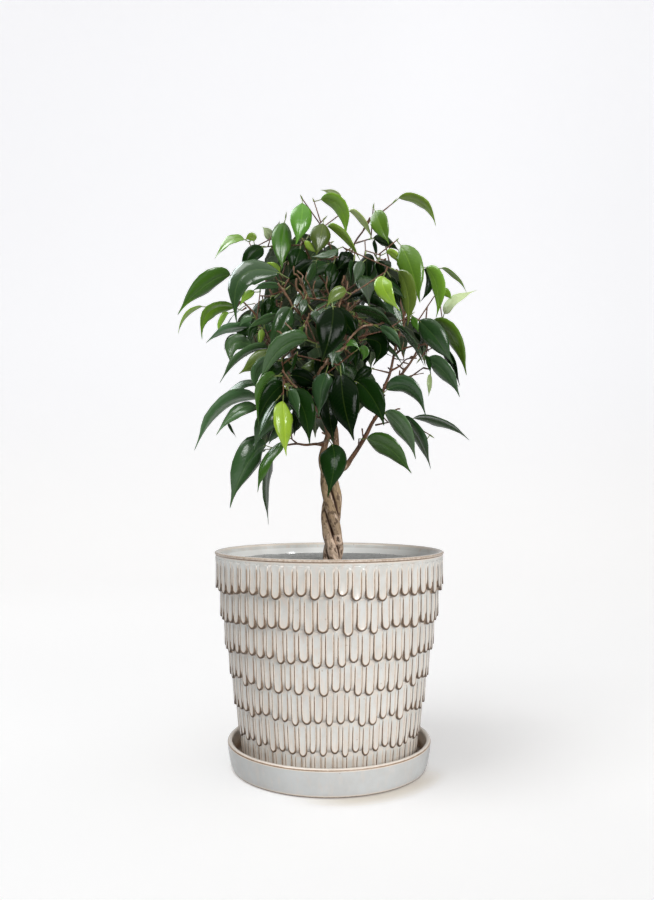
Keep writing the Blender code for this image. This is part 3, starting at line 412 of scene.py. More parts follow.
@dataclass(frozen=True)
class LeafTop:
    """Glossy upper face of a leaf, coloured by its "tone" attribute."""

    name: str = "leaf_upper_face"
    roughness: float = 0.15
    shine: float = 0.66

    def material(self) -> bpy.types.Material:
        """Build the upper face.

        Returns:
            The finished material.
        """
        sheet = Surface(self.name)
        tone = sheet.attribute("tone", "Color")
        marks = LEAF_MARKS.place(sheet, Blade=sheet.attribute("blade", "Vector"))
        where = sheet.object_space()
        patchy = MOTTLE.place(sheet, Vector=where, Scale=85.0)["Mask"]
        colour = sheet.blend(sheet.times(patchy, 0.35), tone, (0.55, 0.62, 0.5), "MULTIPLY")
        paler = sheet.blend(1.0, sheet.blend(1.0, tone, (1.5, 1.35, 1.3), "MULTIPLY"), (0.024, 0.034, 0.006), "ADD")
        for mark, share in (("Veins", 0.13), ("Rib", 0.55), ("Margin", 0.35)):
            colour = sheet.blend(sheet.times(marks[mark], share), colour, paler)
        rough = sheet.span(patchy, 0.0, 1.0, self.roughness, self.roughness + 0.12)
        height = sheet.plus(sheet.times(marks["Veins"], -0.2), sheet.noise(where, 230.0, 2.0))
        return sheet.finish({
            "Base Color": colour, "Roughness": rough, "Normal": sheet.bump(height, 0.30, 0.0005),
            "Specular IOR Level": self.shine,
        })


@dataclass(frozen=True)
class LeafUnder:
    """Paler, duller underside of a leaf."""

    name: str = "leaf_underside"
    bloom: Colour = (0.030, 0.040, 0.016)

    def material(self) -> bpy.types.Material:
        """Build the underside.

        Returns:
            The finished material.
        """
        sheet = Surface(self.name)
        tone = sheet.attribute("tone", "Color")
        marks = LEAF_MARKS.place(sheet, Blade=sheet.attribute("blade", "Vector"))
        colour = sheet.blend(1.0, sheet.blend(1.0, tone, (1.35, 1.25, 1.5), "MULTIPLY"), self.bloom, "ADD")
        paler = sheet.blend(0.30, colour, (0.45, 0.50, 0.26))
        colour = sheet.blend(sheet.times(marks["Veins"], 0.35), colour, paler)
        colour = sheet.blend(marks["Rib"], colour, paler)
        normal = sheet.bump(marks["Veins"], 0.4, 0.0004)
        return sheet.finish({"Base Color": colour, "Roughness": 0.52, "Normal": normal})


@dataclass(frozen=True)
class Stalk:
    """Smooth yellow-green skin of leaf stalks and buds."""

    name: str = "leaf_stalk"
    green: Colour = (0.17, 0.25, 0.055)
    rust: Colour = (0.17, 0.11, 0.045)

    def material(self) -> bpy.types.Material:
        """Build the stalk skin.

        Returns:
            The finished material.
        """
        sheet = Surface(self.name)
        blush = MOTTLE.place(sheet, Vector=sheet.object_space(), Scale=70.0)["Mask"]
        colour = sheet.blend(sheet.times(blush, 0.5), self.green, self.rust)
        return sheet.finish({"Base Color": colour, "Roughness": sheet.span(blush, 0.0, 1.0, 0.36, 0.5)})


@dataclass(frozen=True)
class Grit:
    """Even grey mineral grit."""

    name: str = "grit"
    light: Colour = (0.43, 0.43, 0.42)
    dark: Colour = (0.27, 0.273, 0.27)

    def material(self) -> bpy.types.Material:
        """Build the grit.

        Returns:
            The finished material.
        """
        sheet = Surface(self.name)
        where = sheet.object_space()
        cloudy = MOTTLE.place(sheet, Vector=where, Scale=40.0)["Mask"]
        cells = sheet.node("TexVoronoi", {"Vector": where, "Scale": 700.0})
        cell = sheet.node("SeparateColor", {0: cells.outputs["Color"]}).outputs[0]
        share = sheet.plus(sheet.times(cell, 0.75), sheet.times(cloudy, 0.25))
        colour = sheet.blend(share, self.light, self.dark)
        rough = sheet.span(cell, 0.0, 1.0, 0.8, 0.95)
        height = sheet.maths("SUBTRACT", 1.0, cells.outputs["Distance"])
        return sheet.finish({"Base Color": colour, "Roughness": rough, "Normal": sheet.bump(height, 0.45, 0.0010)})


@dataclass(frozen=True)
class Earth:
    """Dark crumbly potting soil with bits of bark and perlite."""

    name: str = "earth"
    dark: Colour = (0.022, 0.015, 0.010)
    light: Colour = (0.085, 0.058, 0.038)

    def material(self) -> bpy.types.Material:
        """Build the soil.

        Returns:
            The finished material.
        """
        sheet = Surface(self.name)
        where = sheet.object_space()
        crumbs = MOTTLE.place(sheet, Vector=where, Scale=240.0)["Mask"]
        colour = sheet.blend(crumbs, self.dark, self.light)
        bits = SPECKS.place(sheet, Vector=where, Scale=190.0, Size=0.4, Share=0.08)["Mask"]
        colour = sheet.blend(sheet.times(bits, 0.8), colour, (0.5, 0.48, 0.43))
        rough = sheet.span(crumbs, 0.0, 1.0, 0.98, 0.85)
        return sheet.finish({"Base Color": colour, "Roughness": rough, "Normal": sheet.bump(crumbs, 0.9, 0.0015)})


@dataclass(frozen=True)
class Paper:
    """Near-white studio paper that glows for the camera, with a painted warm contact shadow beside the saucer and a
    painted dark front for all but camera rays.

    A glow step is an axis, where it starts and ends there, and how much it adds. A glow patch is where it
    starts and ends across, the same in depth, and how much it adds; the patches are painted light and shade,
    lightening part of the pot's shadow and dimming the floor left of the pot.
    """

    name: str = "studio_paper"
    white: Colour = (0.885, 0.89, 0.90)
    painted_dark_front: Colour = (0.10, 0.10, 0.10)
    contact_shadow: Colour = (0.60, 0.54, 0.45)
    glow: float = 0.193
    glow_steps: tuple = (
        (1, -0.35, 0.1, 0.060), (1, 0.2, 1.4, 0.107), (1, 1.1, 2.4, 0.075), (2, 0.1, 1.0, 0.082),
        (2, 0.6, 1.7, 0.075), (2, 1.3, 2.7, 0.060), (0, 0.05, 0.45, 0.012), (0, 0.5, 1.6, -0.028),
        (1, -0.45, -2.6, 0.22), (0, -1.5, -3.0, 0.13), (0, 1.6, 3.0, 0.13),
    )
    painted_light_and_shade_patches: tuple = (
        (0.13, 0.28, 0.35, 0.10, 0.046), (0.13, 0.28, -0.05, -0.16, -0.046), (-0.12, -0.40, 0.90, 0.30, -0.022),
    )

    def material(self) -> bpy.types.Material:
        """Build the paper.

        Returns:
            The finished material.
        """
        sheet = Surface(self.name)
        where = sheet.object_space()
        tooth = sheet.noise(where, 900.0, 2.0)
        white = sheet.blend(tooth, self.white, tuple(v * 0.985 for v in self.white))
        place = sheet.node("SeparateXYZ", {0: where}).outputs
        away = sheet.node("VectorMath", {0: where}, operation="LENGTH").outputs["Value"]
        seen = sheet.camera_ray()
        # Painted contact shadow: a warm tint on the floor right of and in front of the saucer's foot, for camera rays
        # only
        contact_shadow_share = sheet.times(sheet.span(away, 0.121, 0.099), sheet.span(place[0], -0.05, 0.03))
        contact_shadow_share = sheet.times(contact_shadow_share, sheet.span(place[1], 0.0, -0.06))
        white = sheet.blend(sheet.times(contact_shadow_share, seen), white, self.contact_shadow)
        # Painted shade: the paper in front is near black for all rays but the camera's, darkening its bounce light and
        # reflections
        painted_dark_share = sheet.times(sheet.span(place[1], -0.7, -1.3), sheet.maths("SUBTRACT", 1.0, seen))
        colour = sheet.blend(painted_dark_share, white, self.painted_dark_front)
        glow = self.glow
        for axis, near, far, more in self.glow_steps:
            glow = sheet.plus(glow, sheet.span(place[axis], near, far, 0.0, more))
        # Painted light and shade on the floor round the pot's shadow
        for left, right, near, far, more in self.painted_light_and_shade_patches:
            across = sheet.span(place[0], left, right, 0.0, more)
            glow = sheet.plus(glow, sheet.times(across, sheet.span(place[1], near, far)))
        warm = sheet.blend(sheet.span(place[2], 0.0, 0.8), (1.015, 1.0, 0.99), (1.0, 1.0, 1.03))
        return sheet.finish({
            "Base Color": colour, "Roughness": 0.9, "Specular IOR Level": 0.1, "Emission Color": warm,
            "Emission Strength": sheet.times(glow, seen),
        })


# Mesh helpers


def clear_selection() -> None:
    """Leave edit mode and select nothing."""
    if bpy.context.object is not None and bpy.context.object.mode != "OBJECT":
        bpy.ops.object.mode_set(mode="OBJECT")
    bpy.ops.object.select_all(action="DESELECT")


def coordinates(mesh: bpy.types.Mesh) -> np.ndarray:
    """A mesh's points as an array of rows.

    Args:
        mesh: Mesh to read.

    Returns:
        One row of x, y, z for each point.
    """
    flat = np.empty(len(mesh.vertices) * 3)
    mesh.vertices.foreach_get("co", flat)
    return flat.reshape(-1, 3)


def point_attribute(mesh: bpy.types.Mesh, name: str, kind: str, values: Rows) -> None:
    """Store one value for each point of a mesh.

    Args:
        mesh: Mesh to add to.
        name: Attribute name.
        kind: FLOAT, FLOAT_VECTOR or FLOAT_COLOR.
        values: One row for each point.
    """
    made = mesh.attributes.new(name, kind, "POINT")
    member = {"FLOAT": "value", "FLOAT_VECTOR": "vector", "FLOAT_COLOR": "color"}[kind]
    made.data.foreach_set(member, np.asarray(values, dtype=np.float32).ravel())


def hand_over(piece: bpy.types.Object, node: str) -> None:
    """Put a finished piece on the part's body in place of its CAD node.

    Args:
        piece: Finished piece.
        node: CAD node that it stands for.
    """
    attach(piece, "root")
    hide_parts(node)
    LOG.info("%s: %d points, %d faces", piece.name, len(piece.data.vertices), len(piece.data.polygons))


def edit_whole() -> None:
    """Go into edit mode with the whole mesh selected."""
    bpy.ops.object.mode_set(mode="EDIT")
    bpy.ops.mesh.select_all(action="SELECT")


def leave_edit() -> None:
    """Turn all faces outwards and leave edit mode."""
    bpy.ops.mesh.select_all(action="SELECT")
    bpy.ops.mesh.normals_make_consistent(inside=False)
    bpy.ops.object.mode_set(mode="OBJECT")


def extrude(up: float) -> None:
    """Extrude what is selected straight up, or down."""
    bpy.ops.mesh.extrude_region_move(TRANSFORM_OT_translate={"value": (0.0, 0.0, up)})


def lathe(name: str, profile: Sequence[tuple], steps: int) -> bpy.types.Object:
    """Turn a closed profile round the upright axis.

    Args:
        name: Object name.
        profile: Radius and level of each point, in order round the section.
        steps: Sides of the turned body.

    Returns:
        The turned body.
    """
    clear_selection()
    bpy.ops.mesh.primitive_circle_add(vertices=len(profile), fill_type="NOTHING")
    piece = bpy.context.object
    piece.name = name
    piece.data.name = name
    for point, (radius, level, *_) in zip(piece.data.vertices, profile):
        point.co = (radius, 0.0, level)
    edit_whole()
    bpy.ops.mesh.spin(steps=steps, angle=TAU, center=(0.0, 0.0, 0.0), axis=(0.0, 0.0, 1.0))
    bpy.ops.mesh.select_all(action="SELECT")
    bpy.ops.mesh.remove_doubles(threshold=1e-6)
    bpy.ops.mesh.dissolve_degenerate(threshold=1e-7)
    bpy.ops.mesh.delete_loose()
    leave_edit()
    bpy.ops.object.shade_smooth()
    return piece


def take_apart(master: bpy.types.Object) -> tuple[np.ndarray, list]:
    """Read a modelled master and remove it.

    Args:
        master: Object that is copied later.

    Returns:
        Its points and its faces.
    """
    points = coordinates(master.data)
    faces = [tuple(polygon.vertices) for polygon in master.data.polygons]
    bpy.data.objects.remove(master, do_unlink=True)
    return points, faces


def wear_of_section(points: np.ndarray, profile: Sequence[tuple]) -> np.ndarray:
    """Wear, with its painted shade and light, of a turned body's points, taken from the nearest point of its section.

    Args:
        points: The body's points.
        profile: Radius, level and wear along the section.

    Returns:
        Wear of each point.
    """
    section = np.array(profile)
    radius = np.hypot(points[:, 0], points[:, 1])
    away = (radius[:, None] - section[None, :, 0]) ** 2 + (points[:, 2, None] - section[None, :, 1]) ** 2
    return section[np.argmin(away, axis=1), 2]


@dataclass
class MeshKit:
    """Collects bodies with their attributes and makes one mesh of them."""

    points: list = field(default_factory=list)
    faces: list = field(default_factory=list)
    slots: list = field(default_factory=list)
    values: dict = field(default_factory=dict)
    count: int = 0

    def add(self, points: Rows, faces: list, slots: int | Sequence[int], **values: Rows) -> None:
        """Add a body.

        Args:
            points: Rows of x, y, z.
            faces: Corner numbers of each face.
            slots: Material number, or one for each face.
            values: Attribute rows by name.
        """
        self.points.append(np.asarray(points, dtype=float))
        self.faces += [tuple(corner + self.count for corner in face) for face in faces]
        self.slots += [slots] * len(faces) if isinstance(slots, int) else list(slots)
        for name, rows in values.items():
            self.values.setdefault(name, []).append(np.asarray(rows, dtype=float))
        self.count += len(points)

    def make(self, name: str, materials: Sequence[bpy.types.Material], kinds: dict[str, str]) -> bpy.types.Object:
        """Make the object.

        Args:
            name: Object name.
            materials: Its materials in slot order.
            kinds: Kind of each attribute.

        Returns:
            The new object.
        """
        mesh = bpy.data.meshes.new(name)
        mesh.from_pydata(np.concatenate(self.points).tolist(), [], self.faces)
        for material in materials:
            mesh.materials.append(material)
        mesh.polygons.foreach_set("material_index", np.array(self.slots, dtype=np.int32))
        for label, kind in kinds.items():
            point_attribute(mesh, label, kind, np.concatenate(self.values[label]))
        mesh.shade_smooth()
        piece = bpy.data.objects.new(name, mesh)
        bpy.context.scene.collection.objects.link(piece)
        return piece


# Pot and saucer


@dataclass(frozen=True)
class Finger:
    """One hanging finger of the pot's relief: angles of its sides, its lowest point and its top."""

    row: int
    left: float
    right: float
    end_angle: float
    end_level: float
    high: float
    lift_at_end: float
    round_end: float = 0.0046
    hidden: float = 0.13

    def fall(self, level: np.ndarray) -> np.ndarray:
        """Share of the way from its top to its lowest point."""
        return np.clip((self.high - level) / (self.high - self.end_level), 0.0, 1.0)

    def lift(self, level: np.ndarray) -> np.ndarray:
        """How far its surface stands off the plain wall.

        Args:
            level: Heights.

        Returns:
            Metres off the wall.
        """
        fall = self.fall(level)
        start, least = (0.0008, 0.0008) if self.row == 0 else (-0.0007, 0.0003)
        shown = np.clip((fall - self.hidden) / 0.87, 0.0, 1.0) ** 1.15
        hanging = least + (self.lift_at_end - least) * shown
        return np.where(fall < self.hidden, start + (least - start) * fall / self.hidden, hanging)

    def sides(self, level: np.ndarray, half_gap: np.ndarray) -> tuple[np.ndarray, np.ndarray]:
        """Angles of its two sides at a height.

        Args:
            level: Heights.
            half_gap: Half of the gap to the next finger, as an angle.

        Returns:
            Angles of the left and the right side.
        """
        bend = np.clip((self.fall(level) - 0.45) / 0.55, 0.0, 1.0) ** 2
        shift = (self.end_angle - (self.left + self.right) * 0.5) * bend * 0.6
        return self.left + half_gap + shift, self.right - half_gap + shift

    def shy(self, level: np.ndarray) -> np.ndarray:
        """How far its round end draws back from its straight side, in metres."""
        share = np.clip((self.end_level + self.round_end - level) / self.round_end, 0.0, 0.92)
        return self.round_end * (1.0 - np.sqrt(1.0 - share * share))

    def turned(self) -> "Finger":
        """The same finger one full turn on."""
        return replace(self, left=self.left + TAU, right=self.right + TAU, end_angle=self.end_angle + TAU)


def on_wall(radius: np.ndarray, angle: np.ndarray, level: np.ndarray) -> np.ndarray:
    """Rows of x, y, z of points round the upright axis."""
    return np.stack((radius * np.cos(angle), radius * np.sin(angle), level), axis=1)


@dataclass
class Pot:
    """Tapered pot with a rolled rim and seven rows of overlapping fingers."""

    base: float = 0.0068
    foot_radius: float = 0.0815
    wall: float = 0.0072
    floor: float = 0.0080
    bore_top: float = 0.2000
    drain_radius: float = 0.0110
    wall_low: Place = (0.0080, 0.0825)
    wall_slope: float = 0.1463
    fingers: int = 58
    finger_gap: float = 0.0028
    row_levels: tuple = (0.1985, 0.1720, 0.1428, 0.1148, 0.0892, 0.0620, 0.0345, 0.0092)
    row_lifts: tuple = (0.0048, 0.0043, 0.0036, 0.0028, 0.0026, 0.0020, 0.0020)
    width_jitter: float = 0.11
    length_jitter: float = 0.0030
    tuck: float = 0.0040
    sunk: float = -0.0008
    flat_half: float = 4.3
    flat_straight: float = 10.0
    flat_arch: float = 1.2
    seed: int = 11
    glaze: Glaze = Glaze("pot_glaze")
    rim: tuple = (
        (0.1110, 0.2005, 0.0), (0.11115, 0.2016, 0.04), (0.1112, 0.2025, 0.18), (0.1112, 0.2030, 0.45),
        (0.1113, 0.2034, 1.0), (0.1116, 0.2038, 0.76), (0.1119, 0.2043, 0.54), (0.1120, 0.2048, 0.50),
        (0.11185, 0.2053, 0.58), (0.1114, 0.2057, 0.62), (0.1108, 0.2060, 0.34), (0.1100, 0.2062, 0.18),
        (0.1090, 0.2062, 0.12), (0.1080, 0.2060, 0.20), (0.1071, 0.2055, 0.46), (0.1065, 0.2048, 0.30),
        (0.1059, 0.2038, 0.06), (0.1051, 0.2020, 0.0),
    )

    def wall_radius(self, level: float | np.ndarray) -> float | np.ndarray:
        """Radius of the plain wall at a height."""
        return self.wall_low[1] + (level - self.wall_low[0]) * self.wall_slope

    def bore_radius(self, level: float) -> float:
        """Radius of the inside at a height."""
        return self.wall_radius(level) - self.wall + 0.0006

    def profile(self) -> list[tuple[float, float, float]]:
        """Section of the plain pot.

        Returns:
            Radius, level and wear of each point, from the foot up the outside and down the inside, where a wear below
            zero is painted light.
        """
        base, foot, drain, level = self.base, self.foot_radius, self.drain_radius, self.base + self.floor
        low = self.bore_radius(level)
        return [
            *((float(self.wall_radius(z)), float(z), 0.17) for z in np.linspace(base + 0.0012, self.row_levels[0], 16)),
            *self.rim,
            # Inside wall, its wear below zero: painted light
            *((self.bore_radius(z), z, -0.5) for z in np.linspace(self.bore_top, level + 0.006, 12)),
            (low - 0.0012, level + 0.0022, 0.0), (low - 0.0035, level + 0.0004, 0.0), (low - 0.0065, level, 0.0),
            (drain + 0.001, level, 0.1), (drain, level - 0.001, 0.5), (drain, base + 0.001, 0.6),
            (drain + 0.001, base, 0.7), (foot - 0.004, base, 0.8), (foot - 0.0005, base, 0.9),
            (foot + 0.0002, base + 0.0003, 0.8),
        ]

    def rows(self) -> list[list[Finger]]:
        """The fingers of each row, the top row first.

        Returns:
            Rows of fingers.
        """
        draw = random.Random(self.seed)
        pitch = TAU / self.fingers
        upper = [(i * pitch, self.row_levels[0]) for i in range(self.fingers)]
        rows = []
        for row, level in enumerate(self.row_levels[1:]):
            last = row == len(self.row_levels) - 2
            turn = (row + 1) * pitch * 0.5
            ends = []
            for i in range(self.fingers):
                sway = draw.uniform(-1.0, 1.0) * self.width_jitter * pitch
                drop = draw.uniform(-1.0, 1.0) * self.length_jitter
                ends.append((i * pitch + turn + sway, level + (0.0 if last else drop)))
            following = upper[1:] + [(upper[0][0] + TAU, upper[0][1])]
            tuck = 0.0022 if row == 0 else self.tuck
            rows.append([
                Finger(row, left, right, *end, (a + b) * 0.5 + tuck, self.row_lifts[row] - 0.0002)
                for (left, a), (right, b), end in zip(upper, following, ends)
            ])
            upper = ends
        return rows

    def master_finger(self) -> tuple[np.ndarray, list]:
        """Model one finger lying flat: across on x, hanging towards -y, its crest on z = 0.

        Returns:
            Its points in millimetres and its faces.
        """
        half, straight = self.flat_half, self.flat_straight
        outline = []
        for steps, first, middle, arch in ((4, 0.0, straight, self.flat_arch), (9, 1.0, -straight, half)):
            angles = [math.pi * (first + k / steps) for k in range(steps + 1)]
            outline += [(half * math.cos(angle), middle + arch * math.sin(angle)) for angle in angles]
            side = math.copysign(1.0, middle)
            outline += [(-half * side, straight * share * side) for share in (0.5, 0.0, -0.5)]
        clear_selection()
        bpy.ops.mesh.primitive_circle_add(vertices=len(outline), fill_type="NGON")
        master = bpy.context.object
        for point, (x, y) in zip(master.data.vertices, outline):
            point.co = (x, y, -9.0)
        bpy.ops.object.mode_set(mode="EDIT")
        bpy.ops.mesh.select_mode(type="FACE")
        bpy.ops.mesh.select_all(action="SELECT")
        bpy.ops.mesh.normals_make_consistent(inside=False)
        extrude(7.5)
        extrude(1.0)
        for inset, rise in ((0.48, 0.50), (0.68, -0.12), (0.90, -0.28)):
            bpy.ops.mesh.inset(thickness=inset, depth=0.0)
            bpy.ops.transform.translate(value=(0.0, 0.0, rise))
        bpy.ops.object.mode_set(mode="OBJECT")
        return take_apart(master)

    def bend_finger(self, master: np.ndarray, finger: Finger) -> tuple[np.ndarray, np.ndarray]:
        """Bend a copy of the flat finger on to the wall.

        Args:
            master: The flat finger's points.
            finger: Where it goes.

        Returns:
            The copy's points and their wear.
        """
        x, y, z = master.T
        end, high, straight = finger.end_level, finger.high, self.flat_straight
        heights = (end, end + finger.round_end, high - 0.0012, high)
        flat = (-straight - self.flat_half, -straight, straight, straight + self.flat_arch)
        level = np.interp(y, flat, heights)
        fall = finger.fall(level)
        wall = self.wall_radius(level)
        left, right = finger.sides(level, self.finger_gap * 0.5 / wall)
        angle = (left + right) * 0.5 + x / self.flat_half * (right - left) * 0.5
        relief = np.clip((fall - 0.04) / 0.20, 0.04, 1.0)
        out = np.where(z < -5.0, self.sunk, finger.lift(level) + z * MM * relief)
        tip = np.clip((-y - 8.6) / 3.4, 0.0, 1.0)
        # By the flat finger's rings: foot, side, rim, crest, and the dip inside it. Side and dip grow darker towards
        # the round end, partly glaze break and partly painted shade under the end
        wear = np.select(
            (z < -5.0, z < -1.0, z < -0.45, z > -0.05, z > -0.2),
            (0.16, 0.50 + 0.5 * tip, 1.0, 0.96 + 0.04 * tip, 0.46 + 0.50 * tip), 0.20 * tip,
        )
        # Painted light: the right half of each finger is paler than the left, as if lit from the right
        strength = np.where(x > 0.0, 0.82 + 0.18 * tip, 1.0)
        fade = np.clip((fall - (0.07 if finger.row == 0 else 0.05)) / 0.18, 0.0, 1.0)
        return on_wall(wall + np.maximum(out, self.sunk), angle, level), wear * strength * fade

    def master_ridge(self) -> tuple[np.ndarray, list]:
        """Model one flat ridge that fills the gap between two fingers.

        Returns:
            Its points, 2 wide on x, 2 long on y, its top on z = 0 and its foot on z = -1, and its faces.
        """
        clear_selection()
        bpy.ops.mesh.primitive_grid_add(x_subdivisions=4, y_subdivisions=8, size=2.0)
        edit_whole()
        extrude(-1.0)
        leave_edit()
        return take_apart(bpy.context.object)

    def bend_ridge(self, master: np.ndarray, one: Finger, other: Finger) -> tuple[np.ndarray, np.ndarray]:
        """Bend a copy of the flat ridge into the gap between two fingers.

        Args:
            master: The flat ridge's points.
            one: Finger on its left.
            other: Finger on its right.

        Returns:
            The copy's points and their wear.
        """
        x, y, z = master.T
        down = (1.0 - y) * 0.5
        top = min(one.high, other.high) - 0.0004
        low = max(one.end_level, other.end_level) + 0.0012
        level = top + (low - top) * down
        wall = self.wall_radius(level)
        half_gap = self.finger_gap * 0.5 / wall
        left = one.sides(level, half_gap)[1] - (one.shy(level) + 0.0004) / wall
        right = other.sides(level, half_gap)[0] + (other.shy(level) + 0.0004) / wall
        angle = (left + right) * 0.5 + x * (right - left) * 0.5
        sink = np.clip((down - 0.68) / 0.32, 0.0, 1.0)
        sink = sink * sink * (3.0 - 2.0 * sink)
        relief = np.clip((down - 0.10) / 0.3, 0.0, 1.0) * (1.0 - sink)
        lift = (one.lift(level) + other.lift(level)) * 0.5 * (1.0 - 0.94 * sink)
        out = lift + (0.22 - 0.75 * x * x) * MM * relief - 0.00008
        wear = (0.15 + 0.20 * x * x) * np.clip((down - 0.12) / 0.25, 0.0, 1.0) * (1.0 - 0.5 * sink)
        foot = z < -0.5
        return on_wall(wall + np.where(foot, self.sunk, out), angle, level), np.where(foot, 0.2, wear)

    def build(self) -> None:
        """Model and dress the pot."""
        profile = self.profile()
        points, faces = take_apart(lathe("pot_wall", profile, 174))
        kit = MeshKit()
        kit.add(points, faces, 0, wear=wear_of_section(points, profile))
        finger_points, finger_faces = self.master_finger()
        ridge_points, ridge_faces = self.master_ridge()
        for row in self.rows():
            for finger, other in zip(row, [*row[1:], row[0].turned()]):
                made, worn_and_shaded = self.bend_finger(finger_points, finger)
                kit.add(made, finger_faces, 0, wear=worn_and_shaded)
                made, worn_and_shaded = self.bend_ridge(ridge_points, finger, other)
                kit.add(made, ridge_faces, 0, wear=worn_and_shaded)
        hand_over(kit.make("pot_glazed", [self.glaze.material()], {"wear": "FLOAT"}), "pot")


@dataclass
class Saucer:
    """Shallow glazed dish with a rounded lip."""

    rim_radius: float = 0.0984
    height: float = 0.0262
    foot_radius: float = 0.0930
    floor: float = 0.0065
    wall: float = 0.0044
    bend: float = 0.0125
    glaze: Glaze = Glaze(
        "saucer_glaze", (0.59, 0.605, 0.60), (0.54, 0.54, 0.525), roughness=0.14, speck_share=0.04, blush_share=0.25
    )

    def profile(self) -> list[tuple[float, float, float]]:
        """Section of the dish.

        Returns:
            Radius, level and wear of each point; the wear down in the channel inside is painted shade.
        """
        rim, top, foot = self.rim_radius, self.height, self.foot_radius
        inner = rim - self.wall
        return [
            (0.0, 0.0, 0.8), (foot * 0.5, 0.0, 0.8), (foot - 0.002, 0.0, 0.9), (foot - 0.0004, 0.0001, 0.95),
            (foot + 0.0006, 0.0005, 0.85), (foot + 0.0012, 0.0012, 0.55), (foot + 0.0018, 0.0024, 0.12),
            (foot + 0.0026, 0.0050, 0.0), (foot + 0.0034, 0.0085, 0.0), (rim - 0.0014, self.bend, 0.0),
            (rim - 0.0007, 0.0165, 0.0), (rim - 0.0003, 0.0200, 0.0), (rim - 0.0001, top - 0.0028, 0.05),
            (rim, top - 0.0021, 0.35), (rim - 0.0001, top - 0.0016, 0.88), (rim - 0.0004, top - 0.0011, 0.66),
            (rim - 0.0009, top - 0.0005, 0.30), (rim - 0.0016, top - 0.0001, 0.20), (rim - 0.0023, top, 0.16),
            (inner + 0.0012, top - 0.0001, 0.22), (inner + 0.0005, top - 0.0006, 0.34), (inner, top - 0.0014, 0.42),
            # Down the inside wall into the channel the wear rises to tan and brown clay: painted shade under the pot
            (inner - 0.0003, top - 0.0026, 0.12), (inner - 0.0007, 0.0170, 0.30), (inner - 0.0013, self.bend, 0.62),
            (inner - 0.0022, 0.0095, 0.80), (inner - 0.0036, 0.0076, 0.85), (inner - 0.0056, self.floor + 0.0002, 0.80),
            (inner - 0.0090, self.floor, 0.60), (inner * 0.5, self.floor, 0.0), (0.0, self.floor, 0.0),
        ]

    def build(self) -> None:
        """Model and dress the saucer."""
        profile = self.profile()
        saucer = lathe("saucer_glazed", profile, 160)
        point_attribute(saucer.data, "wear", "FLOAT", wear_of_section(coordinates(saucer.data), profile))
        saucer.data.materials.append(self.glaze.material())
        hand_over(saucer, "saucer")


# Soil and grit


@dataclass
class Topping:
    """Even layer of fine grit over the root ball, with loose grains on it."""

    base: float = 0.1865
    top: float = 0.1952
    reach: float = 0.1023
    hole: float = 0.0098
    trunk_x: float = 0.0040
    relief: float = 0.0004
    grains: int = 1500
    by_trunk: int = 90
    seed: int = 23
    grit: Grit = Grit()

    def surface(self, x: float, y: float) -> float:
        """Height of the grit at a place."""
        return self.top + noise.noise(Vector((x, y, 0.0)) * 60.0) * self.relief

    def bed(self) -> bpy.types.Object:
        """Model the layer itself.

        Returns:
            The layer.
        """
        profile = [(float(radius), self.top) for radius in np.linspace(self.hole, self.reach, 30)]
        profile += [(self.reach - 0.0009, self.base), (self.hole, self.base)]
        bed = lathe("gravel_topping_grit", profile, 128)
        for point in bed.data.vertices:
            radius = math.hypot(point.co.x, point.co.y)
            share = min(1.0, (radius - self.hole) / (self.reach - self.hole))
            point.co.x += self.trunk_x * (1.0 - share)
            if point.co.z > self.top - 0.0002:
                fine = noise.noise(Vector((point.co.x, point.co.y, 3.0)) * 700.0) * 0.00025
                point.co.z = self.surface(point.co.x, point.co.y) + fine
        return bed

    def build(self) -> None:
        """Model and dress the grit."""
        bed = self.bed()
        clear_selection()
        bpy.ops.mesh.primitive_ico_sphere_add(subdivisions=1, radius=1.0)
        grain, faces = take_apart(bpy.context.object)
        kit = MeshKit()
        kit.add(*take_apart(bed), 0)
        draw = random.Random(self.seed)
        for number in range(self.grains):
            angle = draw.uniform(0.0, TAU)
            far = self.hole + 0.0016 if number < self.by_trunk else self.reach - 0.0012
            radius = math.sqrt(draw.uniform((self.hole - 0.0004) ** 2, far ** 2))
            x = radius * math.cos(angle) + self.trunk_x * (1.0 - radius / self.reach)
            y = radius * math.sin(angle)
            size = draw.uniform(0.00030, 0.00060)
            turn = np.array(Matrix.Rotation(draw.uniform(0.0, TAU), 3, Vector((draw.random(), draw.random(), 1.0))))
            form = grain * np.array([draw.uniform(0.7, 1.2) for _ in range(3)]) * size
            kit.add(form @ turn.T + np.array((x, y, self.surface(x, y) + size * 0.2)), faces, 0)
        hand_over(kit.make("gravel_topping_grit", [self.grit.material()], {}), "gravel_topping")


# Leaf chart, the same as the part's own


class Tone(Enum):
    """Leaf colours, from young growth to old, with SPRING, MIST, TEAL and INK standing in for light, sheen and shade on
    the leaves.
    """

    PALE = (0.32, 0.40, 0.17)
    LIME = (0.22, 0.36, 0.040)
    GOLD = (0.23, 0.38, 0.030)
    BRIGHT = (0.070, 0.20, 0.018)
    FRESH = (0.045, 0.125, 0.014)
    OLIVE = (0.080, 0.130, 0.020)
    # Lit yellow-green: painted light
    SPRING = (0.115, 0.235, 0.022)
    # Grey-green of leaves with a whitish sheen: painted sheen
    MIST = (0.060, 0.125, 0.049)
    # Blue-green of dark leaves in the light: painted light
    TEAL = (0.032, 0.078, 0.025)
    BLUE = (0.018, 0.048, 0.012)
    DEEP = (0.0065, 0.024, 0.0035)
    # Black-green of leaves in the crown's shaded middle: painted shade
    INK = (0.0020, 0.0095, 0.0013)


class Face(Enum):
    """Which side of the blade shows from the front."""

    TOP = 1
    UNDER = -1


@dataclass(frozen=True)
class Drawn:
    """One leaf of the chart: midrib points, seen width, how far forward it hangs, colour."""

    base: Place
    bend: Place
    tip: Place
    seen: float
    layer: float
    tone: Tone
    turn: int = 1
    face: Face = Face.TOP


P, L, G, B, F, O, R, M, T, S, D, K = Tone

